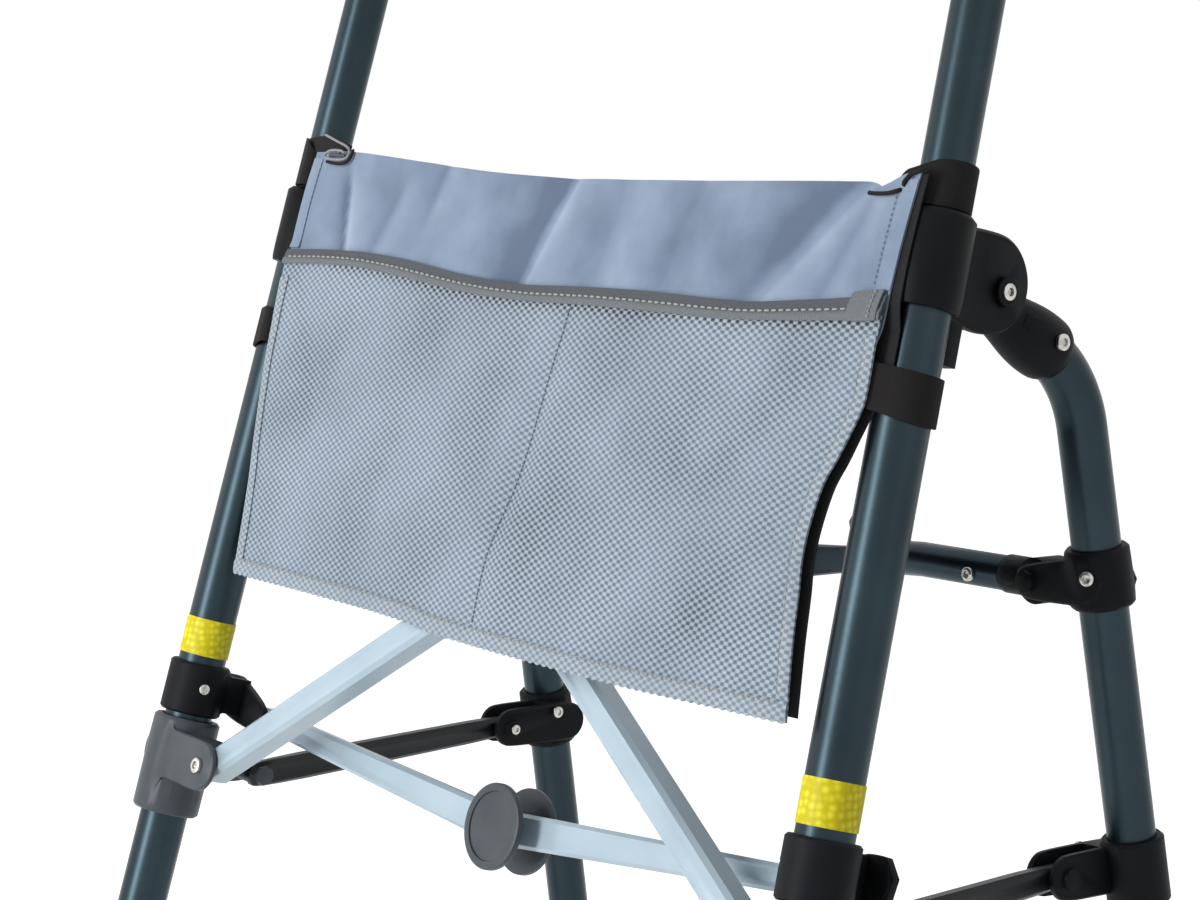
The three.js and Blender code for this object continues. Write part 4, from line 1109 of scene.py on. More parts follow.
def curve(table: Sequence[tuple[float, float]], value: float) -> float:
    """Reads a table of places with a smooth line through its entries.

    Args:
        table: Pairs of a value and what it gives, in rising order.
        value: Where to read.

    Returns:
        The value on the line, held level past its ends.
    """
    if value <= table[0][0]:
        return table[0][1]
    if value >= table[-1][0]:
        return table[-1][1]
    index = next(i for i in range(len(table) - 1) if value <= table[i + 1][0])
    before, (a, first), (b, second), after = (
        table[max(index - 1, 0)], table[index], table[index + 1], table[min(index + 2, len(table) - 1)])
    span = b - a
    share = (value - a) / span
    leave = span * (second - before[1]) / (b - before[0])
    reach = span * (after[1] - first) / (after[0] - a)
    rest = 1 - share
    return ((1 + 2 * share) * rest ** 2 * first + share * rest ** 2 * leave
            + share ** 2 * (3 - 2 * share) * second - share ** 2 * rest * reach)


def measure(path: Sequence[tuple[float, float, float]]) -> tuple[float, list]:
    """Measures a path of points.

    Args:
        path: Each point's x, depth and level, in mm.

    Returns:
        The path's length, and for each of the three its table by the way run.
    """
    places = [sum(math.dist(a, b) for a, b in zip(path[:i], path[1:i + 1])) for i in range(len(path))]
    return places[-1], [[(run, spot[axis]) for run, spot in zip(places, path)] for axis in range(3)]


def within(value: float) -> float:
    """Holds a share between 0 and 1."""
    return max(0.0, min(1.0, value))


@dataclass(frozen=True)
class Crease:
    """A valley in the cloth: a line from its top to its foot, with a slope on either side, in mm."""

    top: tuple[float, float]
    foot: tuple[float, float]
    depth: float
    far_width: float
    near_width: float
    shade: float
    run_out: float = 16
    softness: float = 0.15

    def across(self, x: float, level: float) -> tuple[float, float]:
        """How many widths a place lies from the line, far side negative, and what is left past its end.

        Args:
            x: The place across, in mm.
            level: The level, in mm.

        Returns:
            The widths and what is left.
        """
        run = (self.foot[0] - self.top[0], self.foot[1] - self.top[1])
        length = math.hypot(*run)
        off = (x - self.top[0], level - self.top[1])
        side = (off[1] * run[0] - off[0] * run[1]) / length
        along = (off[0] * run[0] + off[1] * run[1]) / length
        over = max(0.0, -along, along - length)
        width = self.far_width if side < 0 else self.near_width
        return side / width, math.exp(-(over / self.run_out) ** 2)

    def push(self, x: float, level: float) -> float:
        """How far back the crease draws the cloth at a place, in mm."""
        off, left = self.across(x, level)
        return self.depth * left * math.exp(self.softness - math.hypot(off, self.softness))

    def tone(self, x: float, level: float) -> float:
        """Painted shade and highlight beside the crease: darker on its far slope, paler on its near one.

        Args:
            x: The place across, in mm.
            level: The level, in mm.

        Returns:
            What it adds to the tone.
        """
        off, left = self.across(x, level)
        grow = 1 - math.exp(-(off * 4) ** 2)
        return self.shade * left * grow * math.exp(-abs(off)) * (-1.0 if off < 0 else 0.6)


@dataclass
class Bag:
    """The storage bag: a black back, a blue-grey front, a mesh pocket and its trim.

    Its lines and tables are in mm, in the leaning plane of the front legs: x across, and the level up.
    """

    wardrobe: Wardrobe
    right_edge: tuple = ((-48, -231), (7, -237.5), (31, -242), (70, -248), (95, -250.5), (125, -251.5),
                         (155, -250.5), (180, -249.5), (208, -246))
    left_edge: tuple = ((-58, 260), (-22, 253.2), (2, 250), (17, 247.5), (33, 247.6), (53, 251),
                        (65, 256.5), (76, 261), (85, 264.4), (94, 266.6), (124, 266), (163, 267),
                        (190, 269), (204, 270.5))
    top_line: tuple = ((-246, 208), (-210, 208.6), (-130, 203), (-60, 198), (10, 196), (66, 195.9),
                       (144, 196.6), (222, 198), (234, 198.2), (240, 197.2), (245, 195.5), (251, 197.2),
                       (259.5, 201.2), (270, 203.4))
    bottom_line: tuple = ((-231, -48), (-124, -50), (-57, -52.3), (-20, -55.6), (56, -57.9), (130, -59.2),
                          (205, -58.7), (262, -58.3))
    trim_high: tuple = ((-245, 147.6), (-210, 148.6), (-170, 148.4), (-132, 146.2), (-65, 139.3),
                        (-12, 136.4), (36, 137.2), (89, 137.6), (167, 136.1), (223, 139.8), (268, 144))
    trim_low: tuple = ((-245, 138.8), (-210, 139.8), (-170, 139.4), (-133, 136.5), (-59, 129.6),
                       (-8, 127.4), (39, 127.7), (92, 127.3), (170, 126.8), (226, 129.2), (268, 132))
    seam_line: tuple = ((-50, 9.5), (-12, 9.4), (9, 15), (32, 22.5), (59, 26.6), (92, 29.8), (119, 33.8),
                        (140, 35.5))
    back_mm: float = -15.6
    front_mm: float = -20.0
    pocket_mm: float = -21.2
    creases: tuple = (
        Crease((-202, 180), (-196, 150), 2.4, 5.5, 7, 1.0),
        Crease((-107, 200), (-113, 180), 1.8, 9, 12, 0.35),
        Crease((-150, 176), (-165, 145), 1.2, 10, 14, 0.3),
        Crease((10.6, 199), (-18, 137), 3.2, 22, 10, 1.0),
        Crease((60, 197), (52, 150), 1.1, 20, 26, 0.25),
        Crease((120, 190), (104, 142), 1.0, 20, 30, 0.2),
        Crease((233, 197), (172, 137), 2.8, 28, 14, 0.8),
        Crease((243, 186), (222, 142), 1.1, 12, 14, 0.35),
    )
    pocket_creases: tuple = (
        Crease((-228, 134), (-190, 70), 1.6, 12, 20, 0.5),
        Crease((-150, 128), (-196, -20), 1.9, 30, 34, 0.5),
        Crease((-66, 124), (-112, -40), 1.5, 30, 30, 0.4),
        Crease((14, 116), (-34, -40), 1.6, 34, 26, 0.5),
        Crease((96, 124), (52, -42), 1.3, 32, 26, 0.4),
        Crease((176, 122), (120, -40), 1.5, 30, 30, 0.4),
        Crease((262, 126), (176, 40), 1.6, 24, 20, 0.5),
        Crease((252, 60), (176, -36), 1.6, 20, 26, 0.4),
    )
    flap: tuple = ((-58, 0.8), (-20, 1.8), (60, 1.8), (88, 1.5), (98, 6.0), (120, 7.5), (160, 5.5),
                   (204, 3.5))
    flap_width: float = 40
    cloth_gap: float = 1.1
    belly: float = 0.8
    belly_reach: float = 90
    shoulder: tuple = (234, 14)  # where the back starts to come forward, and over what width
    hidden_below: tuple = (128, 12)  # the level behind the pocket's trim, and the height of the change
    shoulder_lift: float = 3.5
    hem_turn: float = 7
    seam_width: float = 9
    seam_hold: float = 0.75
    pocket_full: float = 4.2
    crease_share: float = 0.8
    mouth_lift: float = 0.9
    mouth_share: float = 0.8
    mouth_band: float = 0.2
    lip_share: float = 0.42
    seam_share: float = 0.44
    seam_ends: tuple = (-46, 128)
    trim_step: float = 3
    trim_slope: float = 12
    band_columns: int = 170
    tuck: float = 2.2
    tuck_band: float = 8
    half_width: float = 250
    back_low: float = 3
    back_top: float = 1.5
    # The pocket's painted shadow in its holes: how fast it fades below the trim, how much the creases add,
    # and its dark patches.
    shadow_fade: float = 3.2
    crease_tone: float = 0.5
    dark_patches: tuple = ((215, -26, 46, 26, 0.45), (60, -10, 60, 40, 0.3))  # middle, size, strength
    band_puff: float = 0.6
    border_puff: float = 0.5
    stitch_share: float = 0.38
    thread_flatness: float = 0.7
    cord_end: float = 0.06

    def sides(self, level: float) -> tuple[float, float]:
        """The bag's right and left edges at a level, in mm."""
        return curve(self.right_edge, level), curve(self.left_edge, level)

    def spread(self, u: float, v: float, low: Line, high: Line) -> tuple[float, float]:
        """Finds the place of a share across and a share up between two lines.

        Args:
            u: The share across, from the right edge.
            v: The share up.
            low: The lower line's level at a place across.
            high: The upper line's level.

        Returns:
            Its x and level, in mm.
        """
        level = 80.0
        x = 0.0
        for _ in range(6):
            right, left = self.sides(level)
            x = right + (left - right) * u
            level = low(x) + (high(x) - low(x)) * v
        return x, level

    def panel(self, name: str, columns: int, rows: int, spot: Callable[[float, float], tuple],
              thickness: float) -> Object:
        """A cloth panel on a grid, with a UV map in metres of cloth and a tone that carries its painted
        shade and highlight.

        Args:
            name: The piece's name.
            columns: Squares across.
            rows: Squares up.
            spot: Gives x, depth, level, both cloth coordinates in mm and the tone, at shares from 0 to 1.
            thickness: Of the cloth, in metres.

        Returns:
            The panel.
        """
        select_only()
        bpy.ops.mesh.primitive_grid_add(x_subdivisions=columns, y_subdivisions=rows, size=1)
        panel = name_piece(name)
        layer = panel.data.uv_layers.active or panel.data.uv_layers.new()
        layer.name = "cloth"
        tone = panel.data.attributes.new("tone", "FLOAT", "POINT")
        place_of = STANCE.front()
        spots = [spot(v.co.x + 0.5, v.co.y + 0.5) for v in panel.data.vertices]
        for vertex, (x, back, level, _, _, value) in zip(panel.data.vertices, spots):
            vertex.co = place_of @ Vector((x * MM, back * MM, level * MM))
            tone.data[vertex.index].value = value
        for loop in panel.data.loops:
            layer.data[loop.index].uv = (spots[loop.vertex_index][3] * MM, spots[loop.vertex_index][4] * MM)
        turn_forward(panel)
        finish_with(panel, "SOLIDIFY", thickness=thickness, offset=-1)
        return smooth(panel, 40)

    def top(self, x: float) -> float:
        """The level of the bag's top edge."""
        return curve(self.top_line, x)

    def bottom(self, x: float) -> float:
        """The level of its bottom edge."""
        return curve(self.bottom_line, x)

    def trim(self, x: float, share: float) -> float:
        """The level at a share up the pocket's trim."""
        return (1 - share) * curve(self.trim_low, x) + share * curve(self.trim_high, x)

    def front_depth(self, x: float, level: float) -> float:
        """Where the blue-grey front lies: it hollows between the legs and turns back along its top hem.

        Args:
            x: The place across, in mm.
            level: The level, in mm.

        Returns:
            The depth, in mm.
        """
        right, left = self.sides(level)
        share = 2 * (x - right) / (left - right) - 1
        sag = math.sin(math.pi * within((self.top(x) - level) / self.belly_reach))
        belly = self.belly * (1 - share * share) * sag
        drawn = self.front_mm - belly + sum(crease.push(x, level) for crease in self.creases)
        return min(drawn, self.back_depth(x, level) - self.cloth_gap)

    def back_depth(self, x: float, level: float) -> float:
        """Where the black back lies: it comes forward round the hinge clamps.

        Args:
            x: The place across, in mm.
            level: The level, in mm.

        Returns:
            The depth, in mm.
        """
        edge = within((abs(x) - self.shoulder[0]) / self.shoulder[1])
        above = within((level - self.hidden_below[0]) / self.hidden_below[1])
        return self.back_mm - self.shoulder_lift * edge * above

    def front_spot(self, u: float, v: float) -> tuple:
        """The blue-grey front, from behind the bottom hem to the top edge.

        Args:
            u: The share across, from the right edge.
            v: The share up.

        Returns:
            Its x, depth and level, both cloth coordinates, all in mm, and its tone.
        """
        x, level = self.spread(u, v, lambda x: self.bottom(x) + self.hem_turn, self.top)
        tone = sum(crease.tone(x, level) for crease in self.creases)
        behind = within((self.hidden_below[0] - level) / self.tuck_band)
        drawn_in = self.tuck * max(0.0, x / self.half_width) * behind
        return x - drawn_in, self.front_depth(x, level), level, x, level, tone

    def back_spot(self, u: float, v: float) -> tuple:
        """The black back, which shows past the front as a flap beside the left leg.

        Args:
            u: The share across, from the right edge.
            v: The share up.

        Returns:
            Its x, depth and level, both cloth coordinates, all in mm, and its tone.
        """
        x, level = self.spread(u, v, lambda x: self.bottom(x) + self.back_low,
                               lambda x: self.top(x) - self.back_top)
        right, left = self.sides(level)
        x += curve(self.flap, level) * max(0.0, (x - left + self.flap_width) / self.flap_width)
        return x, self.back_depth(x, level), level, x, level, 0.0

    def pocket_depth(self, x: float, level: float) -> float:
        """Where the mesh lies: full between its seams, and sewn down along the middle one.

        Args:
            x: The place across, in mm.
            level: The level, in mm.

        Returns:
            The depth, in mm.
        """
        right, left = self.sides(level)
        high = curve(self.trim_low, x)
        up = within((level - self.bottom(x)) / (high - self.bottom(x)))
        share = within((x - right) / (left - right))
        seam = 1 - self.seam_hold * math.exp(-((x - curve(self.seam_line, level)) / self.seam_width) ** 2)
        full = self.pocket_full * math.sqrt(max(0.0, 1 - (2 * share - 1) ** 8))
        full *= math.sin(math.pi * (0.1 + 0.82 * up)) ** 0.8
        drawn = sum(crease.push(x, level) for crease in self.pocket_creases)
        mouth = self.mouth_lift * max(0.0, up - self.mouth_share) / self.mouth_band
        return self.pocket_mm - (full - self.crease_share * min(drawn, full)) * seam - mouth

    def pocket_spot(self, u: float, v: float) -> tuple:
        """The mesh pocket, with a tone that darkens its holes where the bag behind it lies in shadow.

        Args:
            u: The share across, from the right edge.
            v: The share up.

        Returns:
            Its x, depth and level, both cloth coordinates, all in mm, and its tone.
        """
        x, level = self.spread(u, v, self.bottom, lambda x: curve(self.trim_low, x) + 2)
        under = math.exp(-max(0.0, curve(self.trim_low, x) - level - 1.0) / self.shadow_fade)
        under *= 1 if x > -200 else 0.4
        patches = sum(strength * math.exp(-((x - a) / wide) ** 2 - ((level - b) / high) ** 2)
                      for a, b, wide, high, strength in self.dark_patches)
        drawn = sum(crease.tone(x, level) for crease in self.pocket_creases)
        tone = under + patches - self.crease_tone * drawn
        return x, self.pocket_depth(x, level), level, x, level, tone

    def surface(self, x: float, level: float) -> float:
        """The depth of the foremost cloth at a place, in mm.

        Args:
            x: The place across, in mm.
            level: The level, in mm.

        Returns:
            The depth, in mm.
        """
        trim = curve(self.trim_low, x)
        if level <= trim + self.trim_step:
            return self.pocket_depth(x, level)
        share = within((level - trim - self.trim_step) / self.trim_slope)
        hang = self.pocket_depth(x, trim)
        front = self.front_depth(x, level)
        return min(front, hang + (front - hang) * share)

    def band(self, name: str, low: Line, high: Line, out: float, reach: tuple[float, float] = (0.0, 1.0),
             teeth: float = 0.0, tone: float = 0.0) -> Object:
        """A band that follows the cloth across the bag.

        Args:
            name: The piece's name.
            low: Gives the level of its lower edge, in mm, at a place across.
            high: Gives the level of its upper edge.
            out: How far it stands in front of the cloth, in mm.
            reach: The shares of the width between which it runs.
            teeth: The height of the zigzag that a cut edge shows, in mm.
            tone: Its tone, which the cloth's painted shade and highlight are read from.

        Returns:
            The band.
        """
        def spot(u: float, v: float) -> tuple:
            """Places one point of the band."""
            share = reach[0] + (reach[1] - reach[0]) * u
            x, level = self.spread(share, v, low, high)
            level -= teeth * (round(u * self.band_columns) % 2) * (1 - v)
            puff = self.band_puff * math.sin(math.pi * v)
            return x, self.surface(x, level) - out - puff, level, x, level, tone
        return self.panel(name, self.band_columns, 6, spot, 0.9 * MM)

    def border(self, name: str, side: Side, width: float, low: float, high: float, out: float) -> Object:
        """The turned-in edge that runs down one side of the bag.

        Args:
            name: The piece's name.
            side: Which edge.
            width: Its width, in mm.
            low: The level where it ends.
            high: The level where it starts.
            out: How far it stands in front of the cloth, in mm.

        Returns:
            The border.
        """
        def spot(u: float, v: float) -> tuple:
            """Places one point of the border."""
            level = low + (high - low) * v
            right, left = self.sides(level)
            x = right + width * u if side is Side.RIGHT else left - width * (1 - u)
            puff = self.border_puff * math.sin(math.pi * u)
            return x, self.surface(x, level) - out - puff, level, x, level, 0.1
        return self.panel(name, 6, 90, spot, 0.8 * MM)

    def stitches(self, name: str, path: Path, length_mm: float, pitch_mm: float, out: float,
                 thread_mm: float) -> Object:
        """A row of stitches along a line on the bag.

        Args:
            name: The piece's name.
            path: Gives x and level, in mm, at a share of the row.
            length_mm: The row's length.
            pitch_mm: From one stitch to the next.
            out: How far the thread stands in front of the cloth, in mm.
            thread_mm: Half of the thread's width.

        Returns:
            All the stitches as one piece.
        """
        count = int(length_mm / pitch_mm)
        place_of = STANCE.front()
        select_only()
        bpy.ops.mesh.primitive_uv_sphere_add(segments=8, ring_count=5, radius=1)
        stitch = name_piece(name)
        shape = [v.co.copy() for v in stitch.data.vertices]
        faces = [list(face.vertices) for face in stitch.data.polygons]
        points, polygons = [], []
        for i in range(count):
            x, level = path((i + 0.5) / count)
            ahead = path((i + 0.6) / count)
            along = Vector((ahead[0] - x, 0, ahead[1] - level)).normalized()
            across = Vector((-along.z, 0, along.x))
            start = len(points)
            depth = self.surface(x, level) - out
            for co in shape:
                spot = (Vector((x, depth, level)) + along * co.x * pitch_mm * self.stitch_share
                        + across * co.y * thread_mm
                        + Vector((0, -1, 0)) * co.z * thread_mm * self.thread_flatness)
                points.append(place_of @ (spot * MM))
            polygons += [[start + k for k in face] for face in faces]
        stitch.data.clear_geometry()
        stitch.data.from_pydata(points, [], polygons)
        stitch.data.uv_layers.new(name="cloth")
        recalculate(stitch, 1e-7)
        return smooth(stitch, 60)

    def ribbon(self, name: str, path: Sequence[tuple[float, float, float]], height: float,
               thickness: float) -> Object:
        """A short piece of webbing on edge along a path of x, depth and middle level, in mm.

        Args:
            name: The piece's name.
            path: The points that it follows.
            height: Its width, in mm.
            thickness: Its thickness, in mm.

        Returns:
            The ribbon.
        """
        length, tables = measure(path)

        def spot(u: float, v: float) -> tuple:
            """Places one point of the ribbon."""
            x, back, level = (curve(table, u * length) for table in tables)
            return x, back, level + (v - 0.5) * height, u * length, v * height, 0.0
        return self.panel(name, 40, 4, spot, thickness * MM)

    def cord(self, name: str, path: Sequence[tuple[float, float, float]], radius: float) -> Object:
        """A thin round drawstring along a path of x, depth and level, in mm.

        Args:
            name: The piece's name.
            path: The points that it follows.
            radius: Half of its thickness, in mm.

        Returns:
            The cord.
        """
        length, tables = measure(path)

        def spot(u: float, v: float) -> tuple:
            """Places one point of the cord."""
            x, back, level = (curve(table, u * length) for table in tables)
            ahead = [curve(table, min(length, u * length + 0.2)) for table in tables]
            run = Vector((ahead[0] - x, 0, ahead[2] - level))
            rise = Vector((-run.z, 0, run.x)).normalized() if run.length else Vector((0, 0, 1))
            turn = math.tau * v
            past = max(0.0, abs(2 * u - 1) - (1 - self.cord_end))
            round_off = math.sqrt(max(0.02, 1 - past / self.cord_end))
            middle = Vector((x, back, level)) + rise * radius * round_off * math.cos(turn)
            return middle.x, back - radius * round_off * math.sin(turn), middle.z, u * length, v, 0.0
        rope = self.panel(name, 40, 12, spot, 0.05 * MM)
        return recalculate(rope, 2e-5)

    def fold_up(self, piece: Object, material: Material, slot: str) -> Object:
        """Dresses a bag piece, carried by the right side, and gives it its own mesh.

        Args:
            piece: The piece.
            material: Its material.
            slot: The record's material slot.

        Returns:
            The same object.
        """
        dress(piece, material, slot, "right_side")
        anchor = STANCE.leg(Side.RIGHT) @ Vector((0, 0, 0.08))
        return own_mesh(piece)

    def build(self) -> list[Object]:
        """Makes the bag from the back to the stitches.

        Returns:
            Every piece of the bag.
        """
        w = self.wardrobe
        back = self.fold_up(self.panel("bag_back_cloth", 120, 60, self.back_spot, 0.7 * MM), w.backing,
                            "bag_backing")
        front = self.fold_up(self.panel("bag_front_cloth", 200, 90, self.front_spot, 0.8 * MM), w.cloth,
                             "bag_cloth")
        pocket = self.fold_up(self.panel("bag_mesh_cloth", 200, 90, self.pocket_spot, 0.6 * MM), w.mesh,
                              "bag_mesh")
        rows = self.bindings() + self.sewing()
        corners = self.corners()
        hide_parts("bag_back_panel")
        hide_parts("bag_front")
        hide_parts("bag_mesh_pocket")
        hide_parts("bag_trim_band")
        return [back, front, pocket, *rows, *corners]

    def bindings(self) -> list[Object]:
        """The pocket's trim in its two tones, the doubled hems, and the tab that ends the trim.

        Returns:
            The bands and borders.
        """
        w = self.wardrobe

        def low(x: float) -> float:
            """The lower edge of the trim."""
            return curve(self.trim_low, x)

        def high(x: float) -> float:
            """Its upper edge."""
            return curve(self.trim_high, x)

        def split(x: float) -> float:
            """The line where its lip ends."""
            return low(x) + self.lip_share * (high(x) - low(x))
        plans = [
            (self.band("bag_trim_tape", low, high, 0.9), w.binding, "bag_binding"),
            (self.band("bag_trim_lip", lambda x: low(x) - 0.4, split, 1.5), w.binding_pale, "bag_binding"),
            (self.band("bag_trim_end", lambda x: low(x) - 1, lambda x: high(x) + 2.4, 2.3, (0.958, 0.997)),
             w.binding_pale, "bag_binding"),
            (self.band("bag_bottom_hem", self.bottom, lambda x: self.bottom(x) + 9, 0.7, teeth=1.0,
                       tone=-0.2), w.hem_mesh, "bag_mesh"),
            (self.border("bag_right_hem", Side.RIGHT, 9.5, -40, 130, 0.6), w.hem_mesh, "bag_mesh"),
            (self.border("bag_left_hem", Side.LEFT, 7, -48, 124, 0.6), w.hem_mesh, "bag_mesh"),
            (self.border("bag_right_top_hem", Side.RIGHT, 9.5, 149, 204, 0.5), w.cloth, "bag_cloth"),
            (self.border("bag_left_top_hem", Side.LEFT, 10, 146, 199, 0.4), w.cloth, "bag_cloth"),
        ]
        return [self.fold_up(piece, material, slot) for piece, material, slot in plans]

    def corners(self) -> list[Object]:
        """What ties the top corners: a band and a looped cord on the right, and a thin cord on the left;
        dark cords at the loop give it painted shade.

        Returns:
            The band and the cords.
        """
        w = self.wardrobe
        front = self.front_mm
        tie = self.ribbon("bag_right_tie", [
            (-266, front + 5, 213), (-252, front + 2.5, 213.6), (-238, front + 1, 213.4),
            (-222, front, 210.5), (-212, front + 0.4, 207.5)], 9.5, 1.3)
        loop = self.cord("bag_right_loop", [
            (-245, front + 1.6, 219.4), (-236, front, 217.3), (-225, front - 1, 214.4),
            (-213, front - 1.6, 211.2),
            (-208.2, front - 2.2, 208.6), (-207.4, front - 2.6, 205.6), (-210.6, front - 2.8, 203.4),
            (-219, front - 2.8, 202.8), (-230, front - 2.8, 203.8), (-232.8, front - 2.8, 205.6),
            (-230, front - 3, 207.4), (-225, front - 3.2, 208.4), (-216, front - 3.3, 208.2),
            (-211, front - 3.3, 207)], 0.8)
        # A black cord behind and below the loop: the loop's painted shadow.
        shade = self.cord("bag_right_under_cord", [
            (-231, front - 2, 201.9), (-222, front - 2.4, 200.7), (-212, front - 2.4, 200.7),
            (-207, front - 2.2, 202.6), (-205.4, front - 1.8, 206), (-205.6, front - 1.2, 210)], 0.95)
        # A dark grey cord behind the loop: painted shade in the slit inside it.
        slit = self.cord("bag_right_inner_cord", [
            (-229, front - 1.8, 205.6), (-222, front - 2, 205.8), (-211.5, front - 1.8, 205.4)], 1.0)
        cord = self.cord("bag_left_cord", [
            (238.5, front - 0.6, 192.2), (241, front - 2.0, 191.5), (247, front - 2.4, 191.2),
            (254, front - 2.4, 191.6), (258.6, front - 2.2, 192.7), (260.6, front - 0.8, 194.2)], 1.05)
        end = self.cord("bag_left_cord_end", [
            (261, front - 0.8, 195.2), (262.2, front - 2, 197), (264, front - 2.2, 199.2),
            (266.3, front - 2, 201.2),
            (271, front - 1, 203), (274, front + 1.5, 203.8)], 1.05)
        plans = [(tie, w.webbing), (loop, w.pale_webbing), (shade, w.webbing), (slit, w.grey_webbing),
                 (cord, w.webbing), (end, w.webbing)]
        return [self.fold_up(piece, material, "webbing") for piece, material in plans]

    def sewing(self) -> list[Object]:
        """The rows of stitches and the pocket's middle seam.

        Returns:
            The rows.
        """
        w = self.wardrobe

        def across(level_at: Line, inset: float) -> Path:
            """A row that crosses the bag, from inset to inset."""
            def path(share: float) -> tuple[float, float]:
                """The row's place at a share."""
                right, left = self.sides(level_at(0))
                x = right + inset + (left - right - 2 * inset) * share
                return x, level_at(x)
            return path

        def down(side: Side, inset: float, low: float, high: float) -> Path:
            """A row that runs beside one edge, between two levels."""
            def path(share: float) -> tuple[float, float]:
                """The row's place at a share."""
                level = low + (high - low) * share
                right, left = self.sides(level)
                return (left - inset if side is Side.LEFT else right + inset), level
            return path

        def seam(share: float) -> tuple[float, float]:
            """The middle seam's place at a share."""
            level = self.seam_ends[0] + (self.seam_ends[1] - self.seam_ends[0]) * share
            return curve(self.seam_line, level), level
        plans = [
            ("bag_trim_stitches", across(lambda x: self.trim(x, self.seam_share), 6), 505, 5.2, 2.4, 0.6,
             w.thread),
            ("bag_hem_stitches", across(lambda x: self.bottom(x) + 8.0, 6), 490, 3.6, 1.5, 0.45, w.thread),
            ("bag_left_stitches_high", down(Side.LEFT, 11, 148, 194), 46, 2.6, 0.7, 0.3, w.dark_thread),
            ("bag_left_stitches_low", down(Side.LEFT, 7, -46, 122), 168, 3.2, 0.9, 0.3, w.thread),
            ("bag_left_tab_stitches", down(Side.LEFT, 6, 131, 146), 15, 2.2, 3.4, 0.4, w.thread),
            ("bag_right_stitches_high", down(Side.RIGHT, 9.5, 151, 202), 51, 3.4, 0.7, 0.2, w.dark_thread),
            ("bag_right_stitches_low", down(Side.RIGHT, 9.5, -40, 132), 172, 3.4, 0.8, 0.25, w.dark_thread),
            ("bag_middle_seam", seam, 174, 2.4, 0.5, 0.45, w.dark_thread),
        ]
        return [self.fold_up(self.stitches(name, path, length, pitch, out, thread), material, "bag_binding")
                for name, path, length, pitch, out, thread, material in plans]


def turn_forward(piece: Object) -> None:
    """Turns a panel's faces so that they look forward, towards -Y.

    Args:
        piece: The panel.
    """
    total = sum((face.normal * face.area for face in piece.data.polygons), Vector())
    if total.y > 0:
        with editing(piece):
            bpy.ops.mesh.flip_normals()


# Straps


